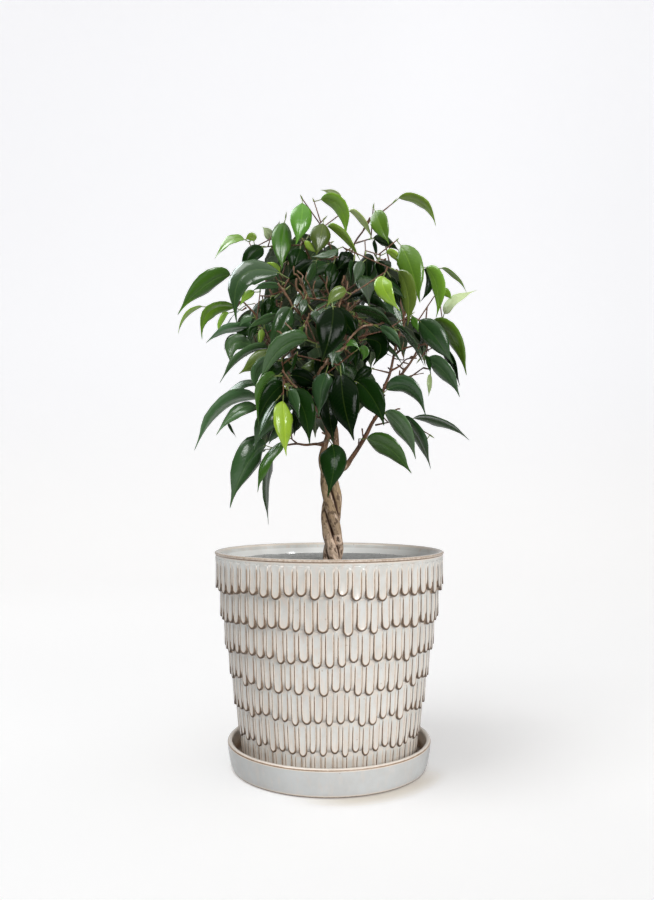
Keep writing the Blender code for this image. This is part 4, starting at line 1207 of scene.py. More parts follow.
# Leaves by their base, bend and tip, each across and down, then seen width, layer, tone, turn and face
CHART = tuple(Drawn((a, b), (c, d), (e, f), *rest) for a, b, c, d, e, f, *rest in (
    # Top
    (339, 198, 334, 191, 321, 186, 9, 0.15, P, 1, Face.UNDER), (321, 197, 340, 207, 346, 236, 15, 0.35, R, -1),
    (302, 201, 301, 221, 296, 242, 22, 0.45, B), (284, 221, 282, 244, 282, 268, 20, 0.30, F),
    (272, 238, 268, 231, 261, 224, 10, 0.05, P, 1, Face.UNDER), (272, 232, 276, 226, 279, 218, 6, 0.10, O),
    (243, 237, 229, 240, 214, 256, 9, 0.00, R, -1), (253, 239, 250, 235, 244, 238, 10, 0.00, L),
    (262, 246, 251, 256, 239, 273, 16, 0.30, D, -1), (350, 209, 363, 219, 373, 238, 7, 0.20, P, -1),
    (376, 209, 382, 224, 389, 242, 18, 0.35, R, -1), (374, 236, 387, 241, 400, 249, 10, 0.10, S, -1),
    (375, 238, 377, 247, 377, 256, 4, 0.05, D), (400, 195, 424, 200, 437, 222, 10, 0.00, L, -1),
    (323, 222, 321, 237, 317, 253, 21, 0.35, O), (328, 225, 345, 237, 360, 259, 8, 0.30, L, -1),
    (279, 272, 272, 266, 263, 261, 9, 0.20, L), (338, 248, 326, 254, 312, 255, 8, 0.45, S, -1),
    (350, 251, 346, 260, 336, 270, 17, 0.35, K), (366, 253, 368, 266, 367, 283, 16, 0.30, K, -1),
    (300, 247, 297, 260, 291, 274, 20, 0.25, D), (304, 240, 310, 246, 317, 252, 7, 0.30, L, -1),
    (316, 262, 311, 276, 302, 289, 10, 0.40, S), (334, 262, 331, 275, 328, 288, 14, 0.35, D),
    # Right side
    (402, 245, 412, 270, 419, 301, 25, 0.60, R, -1), (387, 252, 396, 255, 403, 268, 8, 0.50, L, -1),
    (399, 272, 410, 295, 407, 326, 17, 0.70, O, -1), (427, 267, 439, 287, 437, 317, 15, 0.30, R, -1),
    (425, 268, 430, 284, 421, 300, 5, 0.15, D, -1), (443, 267, 457, 275, 468, 290, 5, 0.05, L, -1),
    (444, 287, 449, 293, 452, 298, 7, 0.05, R, -1), (445, 313, 456, 300, 478, 289, 14, 0.10, P, 1, Face.UNDER),
    (384, 277, 385, 292, 401, 311, 18, 0.75, G, -1), (389, 284, 402, 293, 409, 316, 10, 0.40, K, -1),
    (412, 318, 416, 325, 419, 333, 7, 0.60, B, -1), (434, 322, 453, 340, 468, 374, 15, 0.35, R, -1),
    (420, 321, 436, 340, 453, 364, 23, 0.45, S, -1), (440, 349, 451, 362, 459, 385, 9, 0.25, D, -1),
    (428, 360, 446, 373, 460, 396, 13, 0.40, M, -1), (431, 375, 431, 386, 429, 397, 5, 0.35, P),
    (427, 356, 429, 365, 431, 374, 5, 0.36, D), (397, 328, 411, 341, 424, 366, 6, 0.65, T, -1),
    (380, 329, 393, 337, 402, 351, 10, 0.60, M, -1), (387, 391, 409, 390, 428, 416, 17, 0.40, T, -1),
    (367, 440, 389, 452, 411, 474, 20, 0.35, F, -1), (385, 414, 403, 432, 416, 459, 17, 0.45, M, -1),
    (400, 421, 418, 437, 429, 468, 15, 0.30, T, -1), (427, 440, 425, 450, 428, 460, 3, 0.25, D),
    (414, 419, 441, 421, 469, 439, 9, 0.25, T, -1), (352, 312, 376, 314, 396, 332, 10, 0.55, S, -1),
    (360, 300, 375, 303, 391, 313, 10, 0.45, S, -1), (357, 384, 374, 400, 384, 427, 26, 0.65, D, -1),
    (366, 340, 381, 347, 373, 367, 20, 0.45, K, -1), (372, 370, 363, 376, 351, 385, 12, 0.45, K),
    (347, 348, 353, 344, 360, 352, 7, 0.60, F), (359, 350, 365, 354, 362, 363, 9, 0.60, F, -1),
    (352, 345, 352, 356, 346, 366, 7, 0.50, D),
    # Middle
    (333, 309, 331, 335, 321, 363, 31, 0.75, K), (346, 293, 336, 296, 326, 308, 13, 0.70, O),
    (341, 376, 345, 408, 353, 442, 31, 0.80, K, -1), (326, 388, 330, 415, 333, 443, 20, 0.55, K),
    (332, 446, 334, 466, 328, 498, 27, 0.55, D), (291, 309, 281, 327, 268, 353, 20, 0.60, S),
    (305, 300, 303, 309, 301, 318, 9, 0.60, S), (303, 328, 300, 335, 298, 342, 4, 0.65, F),
    (307, 342, 281, 352, 257, 386, 19, 0.75, T), (290, 377, 307, 380, 322, 393, 17, 0.50, K, -1),
    (291, 393, 303, 413, 310, 446, 23, 0.65, D, -1), (283, 404, 284, 429, 286, 457, 19, 0.85, G),
    (313, 312, 316, 319, 319, 330, 9, 0.65, S), (320, 362, 308, 370, 296, 372, 12, 0.50, O),
    (297, 356, 295, 365, 291, 375, 4, 0.60, D),
    # Left side
    (279, 273, 240, 277, 238, 323, 25, 0.60, T, -1), (280, 287, 265, 286, 251, 291, 7, 0.50, M),
    (229, 274, 202, 284, 178, 313, 19, 0.15, F), (201, 306, 186, 315, 177, 332, 4, 0.05, L),
    (234, 307, 207, 311, 201, 339, 13, 0.30, R), (228, 313, 221, 321, 217, 334, 6, 0.25, L),
    (253, 329, 229, 330, 204, 341, 9, 0.35, M), (236, 335, 228, 341, 224, 350, 5, 0.20, D),
    (252, 347, 233, 345, 231, 368, 16, 0.35, M), (268, 350, 243, 357, 219, 383, 6, 0.45, M),
    (269, 351, 256, 363, 237, 374, 17, 0.55, O, -1), (275, 378, 262, 393, 257, 426, 7, 0.70, F),
    (275, 362, 258, 373, 258, 396, 12, 0.60, M), (259, 383, 240, 386, 220, 401, 8, 0.35, M, -1),
    (257, 400, 223, 409, 196, 448, 12, 0.30, M), (257, 408, 237, 412, 217, 435, 13, 0.45, M, -1),
    (229, 424, 232, 430, 236, 438, 3, 0.20, S), (284, 386, 268, 401, 256, 428, 20, 0.60, D),
    (281, 414, 265, 424, 254, 450, 21, 0.55, T), (266, 447, 247, 463, 230, 508, 28, 0.50, T),
    (283, 443, 265, 464, 259, 493, 10, 0.65, F, -1), (273, 457, 268, 483, 268, 524, 9, 0.40, S),
    (280, 317, 262, 320, 247, 331, 9, 0.55, M), (254, 292, 246, 297, 239, 306, 8, 0.40, L),
    (252, 318, 245, 321, 239, 327, 8, 0.40, M), (262, 330, 261, 338, 258, 347, 7, 0.45, L),
    (258, 328, 250, 333, 253, 347, 9, 0.50, D), (270, 299, 268, 307, 266, 315, 7, 0.45, D),
))

MAIN_ROUTES = {
    "stem_right": (
        (345, 467, -3), (352, 458, 0), (360, 446, 4), (366, 436, 8), (372, 424, 10),
        (377, 416, 10), (381, 402, 8), (384, 389, 6), (390, 374, 5), (394, 356, 5),
        (398, 338, 8), (404, 318, 12), (408, 298, 15), (406, 278, 12), (398, 262, 5),
    ),
    "stem_left": (
        (322, 459, 4), (325, 446, 10), (328, 434, 15), (324, 420, 18), (316, 409, 20),
        (309, 400, 24), (300, 392, 28), (289, 385, 30), (281, 372, 28), (275, 356, 26),
        (268, 342, 24), (261, 328, 24), (255, 315, 24), (247, 306, 22), (241, 300, 20),
    ),
    "stem_centre": (
        (335, 455, 4), (336, 440, -2), (334, 424, -8), (329, 408, -6), (324, 392, 2),
        (320, 380, 12), (321, 371, 18), (327, 361, 22), (336, 351, 22), (344, 342, 20),
        (347, 330, 14), (348, 317, 8), (346, 303, 2), (347, 290, 0), (345, 272, -5),
        (350, 258, -8), (355, 241, -10), (363, 229, -10), (371, 217, -12),
    ),
}

# Woody branches of each stem: (across, down, forward) steps on the plate, and the two radii in mm
LIMBS = {
    "stem_right": (
        (((377, 417, 10), (388, 414, 16), (400, 420, 18), (412, 419, 18)), 1.4, 0.8),
        (((384, 389, 6), (396, 384, 8), (408, 379, 10), (424, 368, 14)), 1.5, 0.8),
        (((391, 371, 5), (400, 366, -2), (407, 359, -8), (417, 358, -12)), 1.2, 0.8),
        (((394, 356, 5), (402, 350, 14), (415, 346, 22), (428, 345, 26)), 1.4, 0.9),
        (((385, 386, 6), (398, 378, -20), (413, 358, -45), (424, 333, -60), (428, 305, -62)), 2.2, 0.9),
        (((398, 338, 8), (404, 322, -20), (400, 297, -45), (392, 268, -58), (386, 242, -52)), 2.0, 0.9),
    ),
    "stem_left": (
        (((325, 446, 10), (316, 445, 18), (306, 446, 24), (296, 445, 28), (284, 447, 30), (275, 450, 32)), 2.0, 1.0),
        (((282, 374, 28), (272, 379, 34), (262, 384, 36)), 1.4, 0.9),
        (((301, 393, 28), (295, 373, 20), (292, 353, 12), (286, 334, 6), (280, 316, 3), (276, 298, 3),
           (282, 284, 3), (278, 270, 0)), 2.2, 0.9),
        (((269, 344, 24), (259, 347, 30), (250, 348, 34)), 1.2, 0.8),
        (((300, 392, 28), (292, 378, 0), (278, 358, -30), (262, 335, -48), (250, 310, -50)), 2.2, 0.9),
        (((317, 410, 20), (306, 404, -10), (290, 396, -38), (272, 385, -55)), 2.0, 0.9),
    ),
    "stem_centre": (
        (((347, 334, 17), (359, 330, 26), (369, 326, 30), (378, 325, 32), (386, 322, 32)), 2.0, 1.2),
        (((346, 303, 2), (334, 292, 6), (322, 278, 8), (312, 264, 8), (306, 250, 5), (303, 238, 0)), 1.6, 0.8),
        (((345, 274, -5), (335, 262, 4), (331, 247, 6), (326, 230, 4)), 1.2, 0.8),
        (((336, 351, 22), (324, 345, 25), (311, 338, 28), (307, 327, 30), (310, 316, 30), (319, 311, 30)), 1.5, 0.9),
        (((345, 341, 20), (354, 344, -8), (363, 338, -38), (370, 318, -62), (368, 288, -76)), 2.4, 0.9),
        (((348, 317, 8), (338, 308, -25), (325, 295, -55), (315, 275, -72), (312, 248, -70)), 2.2, 0.9),
        (((330, 410, -6), (331, 397, -35), (336, 380, -62), (346, 358, -86)), 2.4, 0.9),
        (((347, 290, 0), (358, 281, -10), (374, 268, -8), (386, 258, 0)), 1.4, 0.8),
    ),
}

# Where the crown is dense from the front, as a ring of plate points
DENSE_OUTLINE = (
    (266, 238), (286, 222), (304, 224), (318, 238), (350, 248), (372, 262), (398, 262), (426, 274),
    (424, 292), (408, 300), (408, 318), (436, 322), (444, 352), (424, 356), (400, 352), (384, 356),
    (364, 368), (388, 380), (390, 396), (372, 412), (350, 416), (344, 430), (336, 440), (318, 436),
    (310, 424), (300, 430), (290, 440), (258, 446), (256, 350), (236, 340), (232, 308), (262, 300),
    (262, 286), (236, 284), (236, 272), (262, 264),
)

# Dark knots of the trunk: across, down, forward in mm, reach in mm, push as a share of the radius
KNOTS = (
    (341, 542, 8, 9.0, 0.16),
    (337, 535, 10, 4.0, -0.22),
    (333, 500, 9, 2.6, -0.10),
)

# Bare shoots that show between the leaves: places from the inner end to the cut end, and radius in mm
SHOOTS = (
    (((294, 309, 52), (286, 296, 58), (278, 284, 62)), 1.4),
    (((296, 312, 50), (289, 300, 56), (283, 289, 60)), 1.0),
    (((302, 296, 58), (296, 288, 64), (296, 279, 66)), 1.5),
    (((305, 296, 56), (303, 289, 62), (299, 284, 64)), 1.0),
    (((299, 279, 58), (294, 274, 62), (293, 266, 62)), 1.2),
    (((302, 283, 56), (302, 276, 60), (297, 271, 60)), 1.2),
    (((308, 284, 52), (305, 279, 57), (307, 273, 57)), 0.9),
    (((341, 290, 55), (342, 283, 62), (345, 276, 64)), 1.3),
    (((341, 313, 66), (341, 302, 70), (346, 293, 72), (348, 282, 72)), 1.2),
    (((347, 318, 70), (347, 311, 76), (349, 304, 78)), 1.3),
    (((346, 300, 66), (351, 295, 70), (357, 290, 70)), 0.9),
    (((349, 314, 66), (354, 306, 72), (359, 301, 72)), 0.8),
    (((298, 342, 76), (292, 332, 82), (285, 325, 84)), 1.2),
    (((293, 345, 76), (285, 338, 82), (277, 333, 84)), 1.2),
    (((309, 340, 70), (306, 328, 76), (309, 315, 76)), 1.3),
    (((345, 346, 78), (355, 334, 84), (364, 328, 86), (373, 326, 84)), 1.4),
    (((318, 376, 72), (327, 363, 80), (337, 355, 82), (346, 348, 78)), 1.9),
    (((319, 388, 66), (318, 378, 72), (322, 369, 76)), 1.6),
    (((300, 394, 60), (290, 383, 68), (282, 372, 70)), 1.4),
    (((330, 300, 40), (326, 288, 48), (327, 277, 50)), 1.1),
    (((316, 300, 40), (313, 290, 48), (315, 281, 50)), 1.0),
    (((403, 372, 20), (412, 362, 26), (420, 352, 28)), 0.8),
    (((398, 384, 14), (409, 377, 20), (424, 374, 24)), 0.7),
    (((404, 360, 16), (402, 352, 20), (404, 343, 20)), 0.7),
)


# Wood


@dataclass
class Shell:
    """A closed body's points and faces."""

    points: list
    faces: list


@dataclass(frozen=True)
class Plate:
    """Drawing plate through the trunk, seen from the eye point, in steps right and down."""

    eye: Vector = Vector((0.0, -0.812, 0.286))
    step: float = 0.000993
    left: float = -0.3269
    top: float = 0.7522
    cell: float = 4.0
    crown_centre: Vector = Vector((-0.002, 0.0, 0.405))
    crown_size: Vector = Vector((0.165, 0.125, 0.190))

    def sight(self, across: float, down: float, forward: float) -> Vector:
        """Point seen at a chart place, at so many metres in front of the trunk."""
        plate = Vector((self.left + across * self.step, 0.0, self.top - down * self.step))
        return self.eye.lerp(plate, 1.0 - forward / (plate.y - self.eye.y))

    def sights(self, places: Sequence[tuple]) -> list[Vector]:
        """Points seen at chart places, each with its millimetres in front of the trunk."""
        return [self.sight(across, down, forward * MM) for across, down, forward in places]

    def seen(self, point: Vector) -> Place:
        """Chart place at which a point is seen."""
        plate = self.eye + (point - self.eye) * (self.eye.y / (self.eye.y - point.y))
        return (plate.x - self.left) / self.step, (self.top - plate.z) / self.step

    def crown_front(self, x: float, z: float) -> float:
        """How far forward the crown's surface lies at a place.

        Args:
            x: Place across.
            z: Height.

        Returns:
            Metres in front of the trunk.
        """
        across = (x - self.crown_centre.x) / self.crown_size.x
        rise = (z - self.crown_centre.z) / self.crown_size.z
        return self.crown_size.y * math.sqrt(max(0.04, 1.0 - across * across - rise * rise))

    def inside(self, ring: Ring, across: float, down: float) -> bool:
        """Whether a chart place falls inside a ring.

        Args:
            ring: Chart places.
            across: Steps to the right.
            down: Steps down.

        Returns:
            True inside.
        """
        within = False
        for (x0, y0), (x1, y1) in zip(ring, ring[1:] + ring[:1]):
            if (y0 > down) != (y1 > down) and across < x0 + (down - y0) * (x1 - x0) / (y1 - y0):
                within = not within
        return within

    def cells_in(self, ring: Ring) -> set[tuple[int, int]]:
        """The plate's square cells whose middles fall inside a ring.

        Args:
            ring: Chart places.

        Returns:
            Column and row of each cell.
        """
        columns, rows = ([int(place[k] / self.cell) for place in ring] for k in range(2))
        return {
            (i, j)
            for i in range(min(columns), max(columns) + 1)
            for j in range(min(rows), max(rows) + 1)
            if self.inside(ring, (i + 0.5) * self.cell, (j + 0.5) * self.cell)
        }


PLATE = Plate()


def smooth_path(points: Sequence[Vector], spacing: float) -> list[Vector]:
    """Catmull-Rom curve through points.

    Args:
        points: Points to pass through.
        spacing: Distance between samples.

    Returns:
        The sampled curve.
    """
    ends = [points[0] * 2.0 - points[1], *points, points[-1] * 2.0 - points[-2]]
    path = [points[0].copy()]
    for before, start, end, after in zip(ends, ends[1:], ends[2:], ends[3:]):
        count = max(1, round((end - start).length / spacing))
        for i in range(1, count + 1):
            t = i / count
            path.append(
                0.5 * (
                    2.0 * start
                    + (end - before) * t
                    + (2.0 * before - 5.0 * start + 4.0 * end - after) * t * t
                    + (3.0 * start - before - 3.0 * end + after) * t * t * t
                )
            )
    return path


def tube(path: Sequence[Vector], radii: Sequence[float], sides: int) -> Shell:
    """Closed tube along a path, its rings carried without twist.

    Args:
        path: Centre line.
        radii: Radius at each point.
        sides: Sides of the tube.

    Returns:
        The tube.
    """
    points = []
    across = (path[1] - path[0]).normalized().orthogonal().normalized()
    for i, centre in enumerate(path):
        tangent = (path[min(i + 1, len(path) - 1)] - path[max(i - 1, 0)]).normalized()
        across = (across - tangent * across.dot(tangent)).normalized()
        other = tangent.cross(across)
        for k in range(sides):
            angle = TAU * k / sides
            points.append(centre + (across * math.cos(angle) + other * math.sin(angle)) * radii[i])
    last = len(points) - sides
    faces = [tuple(reversed(range(sides))), tuple(range(last, len(points)))]
    for ring in range(0, last, sides):
        for k in range(sides):
            after = (k + 1) % sides
            faces.append((ring + k, ring + after, ring + sides + after, ring + sides + k))
    return Shell(points, faces)


def tapered(count: int, thick: float, thin: float) -> list[float]:
    """Radii from thick to thin over a number of points."""
    return [thick + (thin - thick) * i / (count - 1) for i in range(count)]


@dataclass
class Route:
    """A stem's main line or one of its limbs."""

    path: list
    radii: list
    main: bool


@dataclass
class Wood:
    """Three stems twisted into one trunk, each with its limbs."""

    trunk_x: float = 0.0040
    lean: float = -0.030
    pitch: float = 0.125
    phase_level: float = 0.265
    braid_top: float = 0.284
    braid_rings: int = 14
    strand_radius: float = 0.0046
    strand_top_radius: float = 0.0040
    braid_radius: float = 0.00555
    heel: float = 0.003
    crack_reach: float = 0.0034
    tip_radius: float = 0.0012
    hole_floor: float = 0.1300
    topping_top: float = 0.1930
    coarse_step: float = 0.020
    fine_step: float = 0.0022
    fine_rings: int = 96
    fine_tip: float = 0.0009
    thicker: float = 0.17
    main_sides: int = 20
    limb_sides: int = 10
    limb_slimness: Place = (0.78, 0.80)
    collar: float = 0.30
    collar_rings: int = 6
    ridges: float = 0.09
    swellings: float = 0.22
    young_radius: float = 0.0021
    old_radius: float = 0.0039
    order: tuple = ("stem_centre", "stem_left", "stem_right")
    slimness: tuple = (0.80, 0.80, 0.58)
    stub_sides: int = 8
    seed: int = 41
    bark: Bark = Bark("bark")

    def axis(self, level: float) -> Vector:
        """Axis of the braid at a height: upright in the soil, leaning a little above it."""
        return Vector((self.trunk_x + self.lean * max(0.0, level - self.topping_top), 0.0, level))

    def strand_centre(self, index: int, level: float) -> Vector:
        """Centre of one strand at a height."""
        angle = math.radians(-30.0 - 120.0 * index) - TAU * (level - self.phase_level) / self.pitch
        return self.axis(level) + Vector([self.braid_radius * part for part in (math.cos(angle), math.sin(angle), 0.0)])

    def strand(self, index: int, rings: int) -> list[Vector]:
        """Path of one strand from the foot of its hole to the top of the braid.

        Args:
            index: Strand number.
            rings: Points above the heel.

        Returns:
            The path.
        """
        foot = self.hole_floor + GAP + self.heel
        rise = self.braid_top - foot
        path = [self.strand_centre(index, foot + rise * i / (rings - 1)) for i in range(rings)]
        return [path[0] - UP * self.heel, *path]

    def coarse_routes(self) -> dict[str, list[Route]]:
        """The solids' own paths, which the crown is grown on.

        Returns:
            Routes by stem, the main one first.
        """
        routes = {}
        for stem, places in MAIN_ROUTES.items():
            strand = self.strand(self.order.index(stem), self.braid_rings)
            above = smooth_path([strand[-1], *PLATE.sights(places)], self.coarse_step)
            radii = tapered(len(strand), self.strand_radius, self.strand_top_radius)
            radii += tapered(len(above), self.strand_top_radius, self.tip_radius)[1:]
            routes[stem] = [Route(strand + above[1:], radii, True)]
            for limb, thick, thin in LIMBS[stem]:
                path = smooth_path(PLATE.sights(limb), self.coarse_step)
                routes[stem].append(Route(path, tapered(len(path), thick * MM, thin * MM), False))
        return routes

    def fine_routes(self) -> dict[str, list[Route]]:
        """Closely sampled paths for the bark.

        Returns:
            Routes by stem, the main one first.
        """
        routes = {}
        for stem, places in MAIN_ROUTES.items():
            index = self.order.index(stem)
            strand = self.strand(index, self.fine_rings)
            above = smooth_path([strand[-8], strand[-1], *PLATE.sights(places)], self.fine_step)
            start = min(range(len(above)), key=lambda i: (above[i] - strand[-1]).length)
            above = above[start + 1:]
            radii = [
                radius * (1.0 + self.thicker * min(1.0, max(0.0, (point.z - self.topping_top) / 0.012)))
                for radius, point in zip(tapered(len(strand), self.strand_radius, self.strand_top_radius), strand)
            ]
            full = radii[-1]
            thick = full * self.slimness[index]
            for i in range(1, len(above) + 1):
                settle = max(0.0, 1.0 - i / 9.0)
                share = ((len(above) - i) / len(above)) ** 1.9
                radii.append(self.fine_tip + (thick + (full - thick) * settle - self.fine_tip) * share)
            routes[stem] = [Route(strand + above, radii, True)]
            for limb, thick, thin in LIMBS[stem]:
                path = smooth_path(PLATE.sights(limb), self.fine_step)
                radii = tapered(len(path), thick * MM * self.limb_slimness[0], thin * MM * self.limb_slimness[1])
                for i in range(min(self.collar_rings, len(radii))):
                    radii[i] *= 1.0 + self.collar * (1.0 - i / self.collar_rings)
                routes[stem].append(Route(path, radii, False))
        return routes

    def age(self, radius: float) -> float:
        """Bark age by radius, from 0 for young to 1 for old."""
        return min(1.0, max(0.0, (radius - self.young_radius) / (self.old_radius - self.young_radius)))

    def bark_tube(self, kit: MeshKit, route: Route, seed: float) -> None:
        """Add a tube with bark relief.

        Args:
            kit: Collects the tube.
            route: Path and radii.
            seed: Offset of its pattern.
        """
        sides = self.main_sides if route.main else self.limb_sides
        shell = tube(route.path, route.radii, sides)
        travelled = 0.0
        moved, grain, ages, scars = [], [], [], []
        for i, (centre, radius) in enumerate(zip(route.path, route.radii)):
            travelled += (centre - route.path[i - 1]).length if i else 0.0
            age = self.age(radius)
            for k in range(sides):
                angle = TAU * k / sides
                place = Vector((math.cos(angle) * radius, math.sin(angle) * radius, travelled + seed))
                ridge = noise.noise(Vector((place.x * 330.0, place.y * 330.0, place.z * 60.0)))
                swelling = noise.noise(Vector((place.x * 90.0, place.y * 90.0, place.z * 75.0)))
                out = shell.points[i * sides + k] - centre
                point = centre + out * (1.0 + self.ridges * ridge + self.swellings * swelling * age)
                scar, push = self.scarring(point)
                # Painted shade in the cracks between the braided strands
                if route.main and point.z < self.braid_top:
                    scar = max(scar, self.crevice_shade(point, centre, radius))
                moved.append(tuple(point + (point - centre) * push))
                grain.append(tuple(place))
                ages.append(age)
                scars.append(scar)
        kit.add(moved, shell.faces, 0, grain=grain, age=ages, scar=scars)

    def crevice_shade(self, point: Vector, centre: Vector, radius: float) -> float:
        """Painted shade in the crack between two strands: how deep a point lies in it.

        Args:
            point: Point of the bark.
            centre: Centre of its own strand there.
            radius: Radius of the strands there.

        Returns:
            Scar value, 0 in the open.
        """
        others = (self.strand_centre(index, point.z) for index in range(len(self.order)))
        away = min((point - other).length for other in others if (other - centre).length > radius)
        return 0.85 * min(1.0, max(0.0, 1.0 - (away - radius) / self.crack_reach))

    def scarring(self, point: Vector) -> tuple[float, float]:
        """Dark knots of the trunk.

        Args:
            point: Point of the bark.

        Returns:
            Scar value, and how far the point is pushed out as a share of its radius.
        """
        scar, push = 0.0, 0.0
        for across, down, forward, reach, depth in KNOTS:
            near = (point - PLATE.sight(across, down, forward * MM)).length / (reach * MM)
            if near < 1.0:
                fall = (1.0 - near * near) ** 2
                scar = max(scar, 0.40 * fall)
                push += depth * fall
        return scar, push

    def stub(self, kit: MeshKit, line: Sequence[Vector], radius: float, seed: float, age: float = 0.25) -> None:
        """Add a pruned twig with a pale cut end.

        Args:
            kit: Collects the twig.
            line: Points from a limb to the cut end.
            radius: Its radius.
            seed: Offset of its pattern.
            age: Age of its bark.
        """
        sides = self.stub_sides
        first, *others = smooth_path(line, 0.002)
        path = [first, *(point + noise.noise_vector(point * 210.0) * radius * 1.1 for point in others)]
        radii = [
            thick * (1.0 + 0.35 * noise.noise(point * 330.0))
            for thick, point in zip(tapered(len(path), radius * 1.3, radius), path)
        ]
        path.append(path[-1] + (path[-1] - path[-2]).normalized() * 0.0002)
        shell = tube(path, [*radii, radius * 0.82], sides)
        points = np.array([tuple(point) for point in shell.points])
        rim = list(range(len(points) - sides, len(points)))
        cut = tuple(corner + sides for corner in rim)
        faces = [shell.faces[0], *shell.faces[2:], cut]
        faces += [(rim[k], rim[(k + 1) % sides], cut[(k + 1) % sides], cut[k]) for k in range(sides)]
        grain = np.concatenate((points, points[rim])) + (0.0, 0.0, seed)
        along = np.array((path[-1] - path[-2]).normalized())
        points = np.concatenate((points, points[rim] + along * 0.0001))
        scars = np.where(np.arange(len(points)) > rim[-1], 2.0, 0.0)
        kit.add(points, faces, 0, grain=grain, age=np.full(len(points), age), scar=scars)

    def side_twigs(self, kit: MeshKit, route: Route, draw: random.Random) -> None:
        """Add short pruned side twigs along a route.

        Args:
            kit: Collects the twigs.
            route: What they grow from.
            draw: Seeded source of choices.
        """
        travelled = 0.0
        following = draw.uniform(0.008, 0.02)
        for before, here, after, radius in zip(route.path, route.path[1:], route.path[2:], route.radii[1:]):
            travelled += (here - before).length
            if here.z < self.braid_top + 0.03 or travelled < following:
                continue
            following = travelled + draw.uniform(0.012, 0.030)
            along = (after - here).normalized()
            out = Vector((draw.uniform(-1, 1), draw.uniform(-1, 1), draw.uniform(-0.4, 1))).normalized()
            out = (out - along * out.dot(along)).normalized()
            aim = (out + along * draw.uniform(0.3, 0.9)).normalized()
            end = here + aim * (radius + draw.uniform(0.004, 0.014))
            bow = (here + end) * 0.5 + UP * (end - here).length * 0.05
            self.stub(kit, (here, bow, end), draw.uniform(0.00055, 0.0010), travelled)

    def build(self) -> None:
        """Model and dress the three stems, with the bare shoots on the nearest wood below them."""
        noise.seed_set(self.seed)
        material = self.bark.material()
        draw = random.Random(self.seed)
        fine = self.fine_routes()
        shoots = {stem: [] for stem in fine}
        for places, radius in SHOOTS:
            line = PLATE.sights(places)
            options = [
                ((point - line[0]).length, stem, point)
                for stem, routes in fine.items()
                for route in routes
                for point in route.path
                if self.braid_top < point.z < line[0].z + 0.004
            ]
            _, stem, start = min(options, key=lambda option: option[0])
            shoots[stem].append(([start, *line], radius * MM * 0.62))
        for stem, routes in fine.items():
            kit = MeshKit()
            for number, route in enumerate(routes):
                self.bark_tube(kit, route, number * 0.37)
            for number, (line, radius) in enumerate(shoots[stem]):
                self.stub(kit, line, radius, number * 0.11, 0.35)
            for route in routes:
                self.side_twigs(kit, route, draw)
            kinds = {"grain": "FLOAT_VECTOR", "age": "FLOAT", "scar": "FLOAT"}
            hand_over(kit.make(f"{stem}_bark", [material], kinds), stem)


# Leaves and crown


@dataclass(frozen=True)
class Blade:
    """One leaf in space."""

    base: Vector
    bend: Vector
    tip: Vector
    facing: Vector
    width: float
    roll: float
    tone: Tone
    face: Face

    def midrib(self, t: float) -> tuple[Vector, Vector]:
        """Point on the midrib, and its direction.

        Args:
            t: Share of the length.

        Returns:
            Point and direction.
        """
        control = self.bend * 2.0 - (self.base + self.tip) * 0.5
        point = self.base * (1 - t) ** 2 + control * 2 * t * (1 - t) + self.tip * t * t
        along = (control - self.base) * (1 - t) + (self.tip - control) * t
        return point, along.normalized()

    def frame(self, t: float, twist: float = 0.0) -> tuple[Vector, Vector, Vector]:
        """Midrib point with the blade's side and upper directions there.

        Args:
            t: Share of the length.
            twist: Extra roll.

        Returns:
            Point, side and upper direction.
        """
        point, along = self.midrib(t)
        side = along.cross(self.facing).normalized()
        upper = side.cross(along).normalized()
        cosine, sine = math.cos(self.roll + twist), math.sin(self.roll + twist)
        return point, side * cosine + upper * sine, (upper * cosine - side * sine) * self.face.value

    def length(self) -> float:
        """Distance from base to tip."""
        return (self.tip - self.base).length


